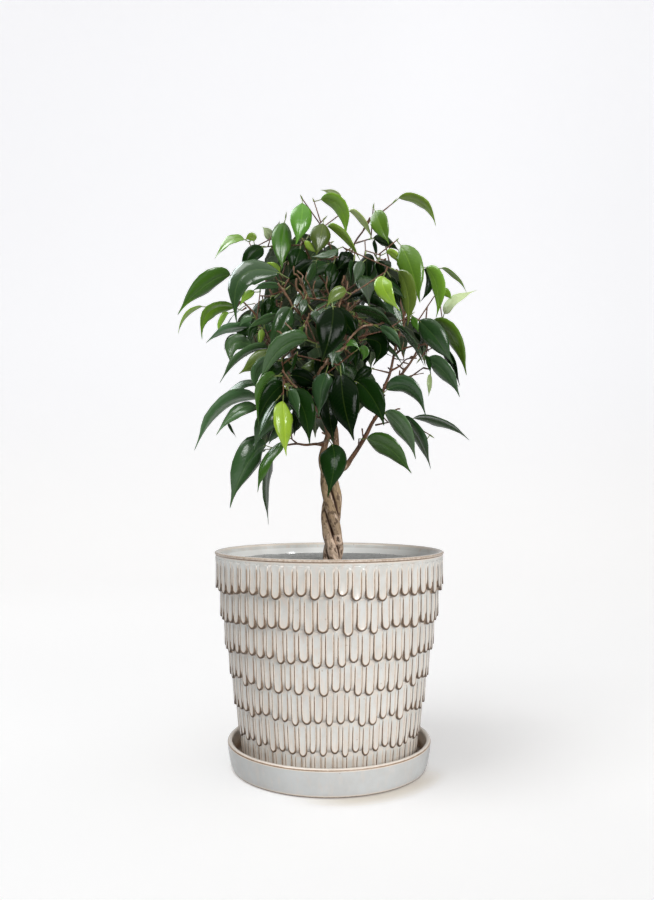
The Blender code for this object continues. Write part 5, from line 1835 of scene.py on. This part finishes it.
@dataclass(frozen=True)
class LeafRule:
    """Sizes that the solids' leaves share."""

    rings: tuple = ((0.0, 0.0), (0.30, 0.5), (0.62, 0.40))
    width_ratio: float = 0.44
    thickness: float = 0.0013
    fold: float = 0.20
    arch: float = 0.07
    petiole_ratio: float = 0.17
    petiole_shortest: float = 0.006
    petiole_radius: float = 0.0008
    narrow: float = 0.008
    twig_radius: float = 0.0012
    straight: float = 0.80
    strips: tuple = ((0, 1), (2, 1), (0, 3), (2, 3))

    def drawn_blade(self, drawn: Drawn, push: float, swing: float) -> Blade:
        """Stand a chart leaf up in space.

        Args:
            drawn: Leaf of the chart.
            push: Metres that it is pushed forward.
            swing: Extra turn about its midrib.

        Returns:
            The leaf in space.
        """
        middle = PLATE.sight(*drawn.bend, 0.0)
        forward = drawn.layer * PLATE.crown_front(middle.x, middle.z) + push
        base = PLATE.sight(*drawn.base, forward)
        tip = PLATE.sight(*drawn.tip, forward)
        length = (tip - base).length
        base = PLATE.sight(*drawn.base, forward - self.arch * length)
        bend = PLATE.sight(*drawn.bend, forward + self.arch * length)
        seen = drawn.seen * PLATE.step * (1.0 + forward / PLATE.eye.y)
        width = max(self.width_ratio * length, seen * 1.02)
        roll = drawn.turn * math.acos(min(1.0, max(0.1, seen / width))) + swing
        facing = (PLATE.eye - bend).normalized()
        return Blade(base, bend, tip, facing, width, roll, drawn.tone, drawn.face)

    def petiole_root(self, blade: Blade) -> Vector:
        """Where the leaf's stalk leaves its twig.

        Args:
            blade: The leaf.

        Returns:
            The point.
        """
        start, along = blade.midrib(0.0)
        length = max(self.petiole_shortest, self.petiole_ratio * blade.length())
        if blade.width < self.narrow:
            length *= 0.5
        return start - (along * 0.8 + UP * 0.2).normalized() * length

    def stalk_points(self, blade: Blade, twig: Vector) -> list[Vector]:
        """Centres of the twig's rings up to the stalk; one that would hardly bend is left out.

        Args:
            blade: The leaf.
            twig: Where its twig starts.

        Returns:
            One or two points.
        """
        root = self.petiole_root(blade)
        straight = (root - twig).normalized().dot((blade.midrib(0.0)[0] - root).normalized()) > self.straight
        return [twig] if straight else [twig, root]

    def shell(self, blade: Blade, grow: float, twig: Vector | None = None, foot: float = 0.0012) -> Shell:
        """The solid's closed thin leaf with its stalk and twig.

        Args:
            blade: The leaf.
            grow: Clearance added all round.
            twig: Where its twig starts.
            foot: Radius of the twig's foot.

        Returns:
            The closed body.
        """
        start, heading = blade.midrib(0.0)
        root = self.petiole_root(blade)
        side, upper = blade.frame(0.0)[1:]
        stalk = self.stalk_points(blade, twig) if twig else [root - (start - root).normalized() * 0.0006]
        line = [*stalk, start]
        points = []
        for i in reversed(range(len(stalk))):
            ahead = (line[i + 1] - line[i]).normalized()
            behind = (line[i] - line[i - 1]).normalized() if i else ahead
            turn = heading.rotation_difference(ahead + behind)
            heading = (ahead + behind).normalized()
            side, upper = turn @ side, turn @ upper
            radius = (foot if twig and i == 0 else self.petiole_radius) + grow
            points = [line[i] + direction * radius for direction in (side, upper, -side, -upper)] + points
        thick = self.thickness * 0.5 + grow
        for t, share in self.rings:
            point, side, upper = blade.frame(t)
            half = max(blade.width * share, self.petiole_radius) + grow
            rise = upper * (self.fold * blade.width * share)
            points += [
                point + side * half + rise, point + upper * thick, point - side * half + rise, point - upper * thick,
            ]
        last, heading = blade.midrib(1.0)
        end = len(points) - 4
        points.append(last + heading * grow)
        faces = [(0, 1, 2), (0, 2, 3)]
        for near in range(0, end, 4):
            for edge, middle in self.strips:
                faces.append((near + edge, near + middle, near + 4 + middle))
                faces.append((near + edge, near + 4 + middle, near + 4 + edge))
        faces += [(end + edge, end + middle, end + 4) for edge, middle in self.strips]
        return Shell(points, faces)

    def seen_ring(self, blade: Blade) -> Ring:
        """A leaf's outline on the plate.

        Args:
            blade: The leaf.

        Returns:
            Chart places.
        """
        near = [blade.midrib(0.0)[0]]
        far = [blade.midrib(1.0)[0]]
        for t, share in self.rings[1:]:
            point, side, _ = blade.frame(t)
            near.append(point + side * blade.width * share)
            far.append(point - side * blade.width * share)
        return [PLATE.seen(point) for point in (*near, far[0], far[2], far[1])]


LEAF = LeafRule()

# Material numbers of a spray
UPPER, UNDER, STALK, TWIG, SHADED = range(5)


class Placed:
    """A body with its box, for clearance tests."""

    def __init__(self, shell: Shell) -> None:
        """Measure a body.

        Args:
            shell: Its points and faces.
        """
        self.tree = BVHTree.FromPolygons(shell.points, shell.faces)
        self.low = Vector([min(point[k] for point in shell.points) for k in range(3)])
        self.high = Vector([max(point[k] for point in shell.points) for k in range(3)])

    def touches(self, other: "Placed") -> bool:
        """Whether it meets another body."""
        apart = any(self.low[k] > other.high[k] or self.high[k] < other.low[k] for k in range(3))
        return not apart and bool(self.tree.overlap(other.tree))


@dataclass
class Anchor:
    """A place a twig can start from: on a limb, or at the end of an earlier twig."""

    point: Vector
    along: Vector
    radius: float
    spray: int
    used: int = 0


@dataclass
class Carried:
    """A leaf with the twig that carries it."""

    blade: Blade
    start: Vector
    forked: bool


@dataclass
class Crown:
    """Places leaves one by one, each clear of all before it, and grows twigs to carry them."""

    wood: Wood
    main_sides: int = 6
    limb_sides: int = 5
    clearance: float = 0.0007
    fork_ratio: float = 0.45
    fork_setback: float = 0.004
    fork_clearance: float = 0.00042
    fork_hidden: float = 0.0035
    fork_step: float = 0.0017
    forks_at_end: int = 2
    bud_spacing: float = 0.020
    twig_reach: float = 0.095
    twig_choices: int = 10
    new_spray_cost: float = 0.004
    max_sprays: int = 52
    spray_leaves: int = 8
    rule_leaves: int = 73
    rule_lengths: Place = (0.040, 0.060)
    rule_seed: int = 5
    rule_tries: int = 5000
    fill_tries: int = 4000
    fill_cells: int = 14
    pushes: tuple = (0, 5, -5, 10, -10, 16, -16, 22, -22, 30, -30)
    swings: tuple = (0.0, 0.25, -0.25)
    placed: list = field(default_factory=list)
    anchors: list = field(default_factory=list)
    sprays: list = field(default_factory=list)
    covered: set = field(default_factory=set)

    def keep(self, shell: Shell) -> None:
        """Remember a body for the clearance tests."""
        self.placed.append(Placed(shell))

    def clear(self, shell: Shell) -> bool:
        """Whether a body touches nothing placed so far."""
        body = Placed(shell)
        return not any(body.touches(other) for other in self.placed)

    def add_buds(self, route: Route) -> None:
        """Anchors along the part of a limb that lies in the crown.

        Args:
            route: The limb.
        """
        travelled = self.bud_spacing
        path = route.path
        for i in range(1, len(path)):
            travelled += (path[i] - path[i - 1]).length
            high_enough = path[i].z > self.wood.braid_top + 0.016
            if high_enough and travelled >= self.bud_spacing or i == len(path) - 1:
                along = (path[i] - path[i - 1]).normalized()
                self.anchors.append(Anchor(path[i].copy(), along, route.radii[i], -1))
                travelled = 0.0

    def free(self, anchor: Anchor) -> bool:
        """Whether one more twig can start from an anchor.

        Args:
            anchor: The anchor.

        Returns:
            True where it can.
        """
        if anchor.spray < 0:
            return len(self.sprays) < self.max_sprays
        return anchor.used < self.forks_at_end and len(self.sprays[anchor.spray]) < self.spray_leaves

    def twig_start(self, anchor: Anchor, target: Vector) -> Vector:
        """Where a twig towards target leaves an anchor.

        Args:
            anchor: The anchor.
            target: Where the twig goes.

        Returns:
            Its first point.
        """
        if anchor.spray >= 0:
            return anchor.point - anchor.along * (self.fork_step * anchor.used)
        aim = (target - anchor.point).normalized()
        lean = aim.dot(anchor.along)
        out = (aim - anchor.along * lean).normalized()
        return anchor.point + out * (anchor.radius + GAP + LEAF.twig_radius * abs(lean))

    def place(self, blade: Blade) -> bool:
        """Add a leaf with the shortest free twig that reaches it.

        Args:
            blade: The leaf.

        Returns:
            Whether it found a place.
        """
        if not self.clear(LEAF.shell(blade, self.clearance)):
            return False
        root = LEAF.petiole_root(blade)
        choices = []
        for number, anchor in enumerate(self.anchors):
            reach = (root - self.twig_start(anchor, root)).length
            if self.free(anchor) and LEAF.twig_radius < reach < self.twig_reach:
                choices.append((reach + (self.new_spray_cost if anchor.spray < 0 else 0.0), number))
        for _, number in sorted(choices)[:self.twig_choices]:
            anchor = self.anchors[number]
            forked = anchor.spray >= 0
            start = self.twig_start(anchor, root)
            span = root - start
            skipped = min(self.fork_hidden / span.length, 0.45) if forked else 0.0
            thick = LEAF.twig_radius + (self.fork_clearance if forked else 0.0)
            if not self.clear(tube([start + span * skipped, root - span * 0.05], [thick] * 2, 4)):
                continue
            if forked:
                spray = anchor.spray
                anchor.used += 1
            else:
                spray = len(self.sprays)
                self.sprays.append([])
                self.anchors.pop(number)
            foot = LEAF.twig_radius * (self.fork_ratio if forked else 1.0)
            self.sprays[spray].append(Carried(blade, start, forked))
            self.keep(LEAF.shell(blade, 0.0, start, foot))
            self.covered |= PLATE.cells_in(LEAF.seen_ring(blade))
            bend = [*LEAF.stalk_points(blade, start), blade.midrib(0.0)[0]][1]
            setback = min(self.fork_setback, 0.35 * span.length)
            fork = start + (bend - start).normalized() * (span.length - setback)
            self.anchors.append(Anchor(fork, span.normalized(), LEAF.twig_radius, spray))
            return True
        return False

    def rule_blade(self, draw: random.Random, place: Place, depth: float) -> Blade:
        """A leaf that covers a chart place, turned away from the crown's axis and hanging.

        Args:
            draw: Seeded source of choices.
            place: Chart place that it covers.
            depth: Share of the crown's depth.

        Returns:
            The leaf in space.
        """
        middle = PLATE.sight(*place, 0.0)
        middle = PLATE.sight(*place, depth * PLATE.crown_front(middle.x, middle.z))
        heading = Vector((middle.x - PLATE.crown_centre.x, middle.y - PLATE.crown_centre.y, 0.0))
        heading = heading / PLATE.crown_size.y
        heading += Vector((draw.uniform(-0.5, 0.5), draw.uniform(-0.5, 0.5), 0.0))
        heading = heading.normalized() + UP * draw.uniform(-0.5, 0.1)
        length = draw.uniform(*self.rule_lengths)
        along = (heading - UP * draw.uniform(0.45, 1.1)).normalized() * length
        lift = (heading * 0.4 + UP).normalized() * length * 0.11
        facing = (heading * 0.7 + UP).normalized()
        # Dark tones for leaves inside the crown; INK among them is painted shade
        tone = draw.choice((Tone.DEEP, Tone.DEEP, Tone.BLUE, Tone.BLUE, Tone.INK))
        base = middle - along * 0.5
        tip = middle + along * 0.5
        width = LEAF.width_ratio * length
        return Blade(base, middle + lift, tip, facing, width, draw.uniform(-0.6, 0.6), tone, Face.TOP)

    def grow(self) -> None:
        """Place the drawn leaves, from the limbs outwards, then those of the rule."""
        for routes in self.wood.coarse_routes().values():
            for route in routes:
                self.keep(tube(route.path, route.radii, self.main_sides if route.main else self.limb_sides))
                self.add_buds(route)
        limb_points = [anchor.point for anchor in self.anchors]

        def distance_to_limbs(drawn: Drawn) -> float:
            """Shortest way from a leaf's stalk to the limbs."""
            root = LEAF.petiole_root(LEAF.drawn_blade(drawn, 0.0, 0.0))
            return min((root - point).length for point in limb_points)

        for drawn in sorted(CHART, key=distance_to_limbs):
            poses = ((push, swing) for push in self.pushes for swing in self.swings)
            any(self.place(LEAF.drawn_blade(drawn, push * MM, swing)) for push, swing in poses)
        self.fill()

    def fill(self) -> None:
        """Add the leaves of the rule inside the dense outline, each on what is still bare for a while."""
        dense = PLATE.cells_in(DENSE_OUTLINE)
        draw = random.Random(self.rule_seed)
        added = 0
        for count in range(self.rule_tries):
            if added >= self.rule_leaves:
                break
            bare = sorted(dense - self.covered)
            filling = count < self.fill_tries
            cell = draw.choice(bare if filling and bare else sorted(dense))
            place = ((cell[0] + 0.5) * PLATE.cell, (cell[1] + 0.5) * PLATE.cell)
            blade = self.rule_blade(draw, place, draw.uniform(-1.0, 0.6 if filling else -0.2))
            cells = PLATE.cells_in(LEAF.seen_ring(blade))
            wanted = self.fill_cells * (1.0 - count / self.fill_tries)
            if cells <= dense and len(cells - self.covered) >= wanted and self.place(blade):
                added += 1


@dataclass
class Foliage:
    """Fine leaves, stalks and twigs in the places that the crown gives."""

    crown: Crown
    stations: tuple = (0.0, 0.03, 0.08, 0.15, 0.24, 0.35, 0.47, 0.59, 0.70, 0.79, 0.86, 0.92, 0.97, 1.0)
    shape: tuple = (0.05, 0.16, 0.285, 0.40, 0.475, 0.505, 0.485, 0.425, 0.325, 0.205, 0.105, 0.052, 0.030, 0.010)
    strips: tuple = (-1.0, -0.72, -0.38, -0.10, 0.0, 0.10, 0.38, 0.72, 1.0)
    fold: float = 0.30
    curl: float = 0.40
    thickness: float = 0.00026
    rib_depth: float = 0.0003
    twig_radius: float = 0.00090
    petiole_radius: float = 0.00052
    seed: int = 77
    inner_tries: int = 60
    inner_each: int = 2
    inner_lengths: Place = (0.024, 0.042)
    bud_share: float = 0.45
    shade: set = field(default_factory=lambda: PLATE.cells_in(DENSE_OUTLINE))
    upper: LeafTop = LeafTop()
    # Duller copy of the upper face for the darkest leaves: painted shade
    shaded: LeafTop = LeafTop("leaf_upper_shaded", 0.10, 0.10)
    under: LeafUnder = LeafUnder()
    stalk: Stalk = Stalk()
    twig: Bark = Bark("twig_bark")
    right_edge: float = 0.1463

    def master_blade(self) -> tuple[np.ndarray, list, list]:
        """Model one flat leaf: strips on x, stations on y, top and underside on z.

        Returns:
            Its points, its faces and the material number of each face.
        """
        clear_selection()
        columns, rows = len(self.strips) - 1, len(self.stations) - 1
        bpy.ops.mesh.primitive_grid_add(x_subdivisions=columns, y_subdivisions=rows, size=2.0)
        master = bpy.context.object
        for point in master.data.vertices:
            column = round((point.co.x + 1.0) * columns / 2.0)
            row = round((point.co.y + 1.0) * rows / 2.0)
            point.co = (self.strips[column], self.stations[row], 0.0)
        skin = master.modifiers.new("thickness", "SOLIDIFY")
        skin.thickness = 0.02
        skin.offset = 0.0
        skin.material_offset = 1
        bpy.ops.object.modifier_apply(modifier=skin.name)
        points = coordinates(master.data)
        faces = [tuple(polygon.vertices) for polygon in master.data.polygons]
        slots = [UPPER if polygon.normal.z > -0.5 else UNDER for polygon in master.data.polygons]
        bpy.data.objects.remove(master, do_unlink=True)
        return points, faces, slots

    def bend_blade(self, blade: Blade, master: np.ndarray, draw: random.Random) -> tuple[np.ndarray, np.ndarray]:
        """Bend a copy of the flat leaf on to a blade's midrib.

        Args:
            blade: Place and size of the leaf.
            master: The flat leaf's points.
            draw: Seeded source of choices.

        Returns:
            The copy's points, and rows of strip, station and half width for the markings.
        """
        twist = draw.uniform(-0.22, 0.22)
        fold = self.fold * draw.uniform(0.5, 1.4)
        curl = self.curl * draw.uniform(0.6, 1.4)
        wave = draw.uniform(0.012, 0.042)
        sickle = draw.uniform(-0.045, 0.045) * blade.length()
        phases = (draw.uniform(0.0, TAU), draw.uniform(0.0, TAU))
        turns = draw.uniform(1.6, 2.8)
        hook = Vector((draw.uniform(-0.7, 0.7), draw.uniform(-0.5, 0.3), -0.8)) * blade.length()
        hook *= draw.uniform(0.015, 0.065)
        frames = [blade.frame(t, twist * (t - 0.35)) for t in self.stations]
        points, marks = [], []
        for strip, station, level in master:
            row = min(range(len(frames)), key=lambda k: abs(self.stations[k] - station))
            t, half = self.stations[row], self.shape[row]
            point, side, upper = frames[row]
            reach = abs(strip)
            phase = phases[0] if strip > 0.0 else phases[1]
            rise = fold * reach - curl * reach * reach
            rise = rise * half + wave * math.sin(phase + t * turns * TAU) * reach ** 3 * min(1.0, half * 3.0)
            skin = math.copysign(self.thickness * 0.5 * (1.0 - 0.5 * reach), level)
            if level < 0.0 and reach < 0.05:
                skin -= self.rib_depth * half * 2.0
            place = point + side * (strip * half * blade.width) + upper * (rise * blade.width + skin)
            place += hook * max(0.0, (t - 0.55) / 0.45) ** 2 + side * (sickle * math.sin(math.pi * t) ** 2)
            points.append(tuple(place))
            marks.append((strip, t, half * 2.0))
        return np.array(points), np.array(marks)

    def tone_of(self, blade: Blade, draw: random.Random) -> tuple:
        """Colour of one leaf.

        Args:
            blade: The leaf.
            draw: Seeded source of choices.

        Returns:
            Its own shade of its tone, with full alpha.
        """
        light = draw.uniform(0.86, 1.46)
        warm = draw.uniform(0.94, 1.08)
        red, green, blue = blade.tone.value
        return red * light * warm, green * light, blue * light / warm, 1.0

    def collect(
        self, kit: MeshKit, points: Rows, faces: list, slots: int | list, tone: tuple, marks: tuple | Rows
    ) -> None:
        """Add a leaf, twig or stalk.

        Args:
            kit: Collects the spray.
            points: Rows of x, y, z.
            faces: Corner numbers of each face.
            slots: Material number, or one for each face.
            tone: Its colour.
            marks: Rows of strip, station and half width, or one for all.
        """
        count = len(points)
        rest = {"grain": points, "age": np.zeros(count), "scar": np.zeros(count)}
        kit.add(points, faces, slots, tone=np.tile(tone, (count, 1)), blade=np.broadcast_to(marks, (count, 3)), **rest)

    def rod(self, kit: MeshKit, path: Sequence[Vector], radii: Sequence[float], slot: int, sides: int) -> None:
        """Add a twig or stalk.

        Args:
            kit: Collects it.
            path: Its centre line.
            radii: Its radii.
            slot: Its material number.
            sides: Its sides.
        """
        shell = tube(path, radii, sides)
        points = np.array([tuple(point) for point in shell.points])
        self.collect(kit, points, shell.faces, slot, (0.2, 0.3, 0.08, 1.0), (1.0, 0.5, 1.0))

    def add_leaf(self, kit: MeshKit, carried: Carried, master: tuple, draw: random.Random) -> None:
        """Add one leaf with its stalk and twig.

        Args:
            kit: Collects the spray.
            carried: The leaf and where its twig starts.
            master: The flat leaf's points, faces and material numbers.
            draw: Seeded source of choices.
        """
        blade, foot = carried.blade, carried.start
        flat, faces, slots = master
        points, marks = self.bend_blade(blade, flat, draw)
        start, along = blade.midrib(0.0)
        reach = points[:, 0].max()
        if reach > self.right_edge:
            points[:, 0] = start.x + (points[:, 0] - start.x) * (self.right_edge - start.x) / (reach - start.x)
        # Leaves of the two darkest tones take the duller shaded copy of the upper face: painted shade
        if blade.tone in (Tone.INK, Tone.DEEP):
            slots = [SHADED if slot == UPPER else slot for slot in slots]
        self.collect(kit, points, faces, slots, self.tone_of(blade, draw), marks)
        root = LEAF.petiole_root(blade)
        petiole = (start - root).length
        if len(LEAF.stalk_points(blade, foot)) == 1:
            root = start + (foot - start).normalized() * petiole
        twig = smooth_path([foot, root], 0.004)
        thick = self.twig_radius * (0.8 if carried.forked else 1.15)
        self.rod(kit, twig, tapered(len(twig), thick, self.twig_radius * 0.62), TWIG, 7)
        into = start + along * blade.length() * 0.05
        stalk = smooth_path([root, (root + start) * 0.5 - UP * petiole * 0.03, start, into], 0.0022)
        self.rod(kit, stalk, tapered(len(stalk), self.petiole_radius, self.petiole_radius * 0.8), STALK, 6)
        if draw.random() < self.bud_share:
            self.add_bud(kit, root, (root - foot).normalized(), draw)

    def add_bud(self, kit: MeshKit, root: Vector, along: Vector, draw: random.Random) -> None:
        """Add the pointed bud at the end of a twig.

        Args:
            kit: Collects the spray.
            root: End of the twig.
            along: Direction of the twig.
            draw: Seeded source of choices.
        """
        length = draw.uniform(0.003, 0.007)
        lean = Vector((draw.uniform(-0.3, 0.3), draw.uniform(-0.3, 0.3), draw.uniform(-0.1, 0.4)))
        aim = (along + lean).normalized()
        path = [root - aim * 0.0006, root, *(root + aim * length * share for share in (0.4, 0.8, 1.0))]
        self.rod(kit, path, (0.0005, 0.00085, 0.00075, 0.0003, 0.00004), STALK, 6)

    def inner_leaves(self, leaves: Sequence[Carried], box: tuple, draw: random.Random) -> list[Carried]:
        """Smaller dark leaves along the twigs, deeper in the crown than those at their ends.

        Args:
            leaves: A spray's own leaves.
            box: Low and high corner of the spray's CAD node.
            draw: Seeded source of choices.

        Returns:
            Leaves that stay in the box, behind the spray's front, and clear of every leaf of the crown.
        """
        low, high = box
        found = []
        for carried in leaves:
            foot, root = carried.start, LEAF.petiole_root(carried.blade)
            wanted = len(found) + self.inner_each
            for _ in range(self.inner_tries):
                share = draw.uniform(0.05, 0.9)
                start = foot.lerp(root, share)
                out = Vector((draw.uniform(-1, 1), draw.uniform(-0.8, 1), draw.uniform(-0.9, 0.2))).normalized()
                length = draw.uniform(*self.inner_lengths)
                base = start + out * draw.uniform(0.005, 0.010)
                tip = base + (out - UP * draw.uniform(0.1, 0.7)).normalized() * length
                bend = (base + tip) * 0.5 + UP * length * 0.08
                facing = Vector((draw.uniform(-0.6, 0.8), -0.7, 1.0)).normalized()
                # Dark tones for leaves deep in the crown: INK is painted shade and TEAL painted light
                tone = draw.choice((Tone.DEEP, Tone.INK, Tone.INK, Tone.TEAL))
                blade = Blade(base, bend, tip, facing, length * 0.46, draw.uniform(-0.7, 0.7), tone, Face.TOP)
                inside = all(low[k] < tip[k] < high[k] and low[k] < base[k] < high[k] for k in range(3))
                behind = min(base.y, tip.y) > carried.blade.base.y + 0.002
                if not inside or not behind:
                    continue
                cells = PLATE.cells_in(LEAF.seen_ring(blade))
                if cells <= self.shade and self.crown.clear(LEAF.shell(blade, 0.0003)):
                    found.append(Carried(blade, start, True))
                    self.crown.keep(LEAF.shell(blade, 0.0))
                if len(found) >= wanted:
                    break
        LOG.info("%d inner leaves on %d twigs", len(found), len(leaves))
        return found

    def build(self) -> list[bpy.types.Object]:
        """Model and dress every spray.

        Returns:
            The finished sprays.
        """
        master = self.master_blade()
        finishes = (self.upper, self.under, self.stalk, self.twig, self.shaded)
        materials = [finish.material() for finish in finishes]
        kinds = {"tone": "FLOAT_COLOR", "blade": "FLOAT_VECTOR", "grain": "FLOAT_VECTOR"}
        kinds |= {"age": "FLOAT", "scar": "FLOAT"}
        made = []
        for number, leaves in enumerate(self.crown.sprays, start=1):
            draw = random.Random(self.seed + number)
            name = f"spray_{number:02d}"
            kit = MeshKit()
            for carried in leaves:
                self.add_leaf(kit, carried, master, draw)
            for carried in self.inner_leaves(leaves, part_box(name), draw):
                self.add_leaf(kit, carried, master, draw)
            made.append(kit.make(f"{name}_leaves", materials, kinds))
            hand_over(made[-1], name)
        return made


# Studio


@dataclass
class Studio:
    """White sweep, soft lights and the camera."""

    camera_place: tuple = (0.0, -0.8123, 0.2680)
    camera_pitch: float = 0.0453
    lens: float = 32.776
    shift_x: float = -0.00244
    floor_size: float = 8.0
    back: float = 3.0
    height: float = 5.0
    bend: float = 1.6
    front_lamps: tuple = (
        ("front_right", (0.76, -1.70, 0.70), (0.0, 0.0, 0.28), 0.75, 19.0, (1.0, 1.0, 1.0)),
        ("front_spark", (1.10, -1.00, 0.85), (0.0, 0.0, 0.30), 0.20, 3.0, (0.97, 0.99, 1.0)),
    )
    high_lamp: tuple = ("high_left", (-0.80, -0.42, 1.95), (0.05, 0.0, 0.10), 1.1, 16.0, (0.985, 0.995, 1.0))
    back_lamp: tuple = ("back_left", (-1.00, 0.45, 1.25), (0.0, 0.0, 0.42), 1.0, 24.0, (0.90, 0.96, 1.0))
    air: tuple = (0.05, 0.92)
    air_seen: float = 0.93
    air_colour: Colour = (1.0, 0.990, 0.980)
    paper: Paper = Paper()

    def select_far_edge(self, paper: bpy.types.Object) -> None:
        """Select the floor's far edge alone, in edit mode.

        Args:
            paper: The paper.
        """
        bpy.ops.object.mode_set(mode="OBJECT")
        for edge in paper.data.edges:
            ends = [paper.data.vertices[i].co for i in edge.vertices]
            edge.select = all(end.y > self.back - 0.1 and end.z < 0.1 for end in ends)
        bpy.ops.object.mode_set(mode="EDIT")

    def sweep(self) -> bpy.types.Object:
        """Model the paper: a floor that curves up into a back wall.

        Returns:
            The paper.
        """
        clear_selection()
        middle = (0.0, self.back - self.floor_size * 0.5, 0.0)
        bpy.ops.mesh.primitive_plane_add(size=self.floor_size, location=middle)
        paper = bpy.context.object
        paper.name = "studio_sweep"
        bpy.ops.object.transform_apply(location=True, rotation=False, scale=False)
        bpy.ops.object.mode_set(mode="EDIT")
        bpy.ops.mesh.select_all(action="DESELECT")
        self.select_far_edge(paper)
        bpy.ops.mesh.select_mode(type="EDGE")
        extrude(self.height)
        self.select_far_edge(paper)
        bpy.ops.mesh.bevel(offset=self.bend, segments=24, affect="EDGES")
        leave_edit()
        bpy.ops.object.shade_smooth()
        paper.data.materials.append(self.paper.material())
        return paper

    def lamp(self, name: str, place: tuple, aim: tuple, size: float, watts: float, colour: Colour) -> bpy.types.Object:
        """Add a square soft light.

        Args:
            name: Light name.
            place: Where it stands.
            aim: What it points at.
            size: Side of the square.
            watts: Power.
            colour: Its colour.

        Returns:
            The lamp.
        """
        light = bpy.data.lights.new(name, "AREA")
        light.shape = "SQUARE"
        light.size = size
        light.energy = watts
        light.color = colour
        lamp = bpy.data.objects.new(name, light)
        lamp.location = place
        lamp.rotation_euler = (Vector(aim) - Vector(place)).to_track_quat("-Z", "Y").to_euler()
        bpy.context.scene.collection.objects.link(lamp)
        return lamp

    def light_crown(self, leaves: Sequence[bpy.types.Object]) -> None:
        """Add the light from behind that only the leaves catch.

        Args:
            leaves: The sprays.
        """
        lit = bpy.data.collections.new("crown_lit")
        for spray in leaves:
            lit.objects.link(spray)
        self.lamp(*self.back_lamp).light_linking.receiver_collection = lit

    def build(self) -> None:
        """Set up paper, lights, world and camera."""
        paper = self.sweep()
        unlit = bpy.data.collections.new("paper_left_out")
        unlit.objects.link(paper)
        unlit.collection_objects[0].light_linking.link_state = "EXCLUDE"
        for setting in self.front_lamps:
            self.lamp(*setting).light_linking.receiver_collection = unlit
        self.lamp(*self.high_lamp)
        world = bpy.context.scene.world or bpy.data.worlds.new("studio_air")
        bpy.context.scene.world = world
        world.use_nodes = True
        air = world.node_tree.nodes["Background"].inputs
        sheet = NodeSheet(world.node_tree)
        sheet.feed(air["Color"], self.air_colour)
        way = sheet.node("SeparateXYZ", {0: sheet.node("TexCoord").outputs["Generated"]}).outputs
        strength = sheet.span(way[2], 0.05, 0.85, *self.air)
        strength = sheet.times(strength, sheet.span(way[0], -0.8, 0.2, 0.50, 1.0))
        strength = sheet.maths("MAXIMUM", strength, sheet.times(sheet.camera_ray(), self.air_seen))
        sheet.feed(air["Strength"], strength)
        bpy.context.scene.view_settings.view_transform = "Standard"
        camera = bpy.data.cameras.new("portrait_camera")
        camera.lens = self.lens
        camera.sensor_width = 36.0
        camera.shift_x = self.shift_x
        view = bpy.data.objects.new("portrait_camera", camera)
        view.location = self.camera_place
        view.rotation_euler = (math.pi / 2.0 + self.camera_pitch, 0.0, 0.0)
        bpy.context.scene.collection.objects.link(view)
        bpy.context.scene.camera = view


def main() -> None:
    """Build every piece in order."""
    logging.basicConfig(level=logging.INFO, format="%(name)s: %(message)s")
    studio = Studio()
    studio.build()
    Pot().build()
    Saucer().build()
    Topping().build()
    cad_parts["soil"].material_slots[0].material = Earth().material()
    LOG.info("soil: better material")
    wood = Wood()
    wood.build()
    crown = Crown(wood)
    crown.grow()
    LOG.info("crown: %d leaves in %d sprays", sum(map(len, crown.sprays)), len(crown.sprays))
    studio.light_crown(Foliage(crown).build())
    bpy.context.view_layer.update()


if __name__ == "__main__":
    main()
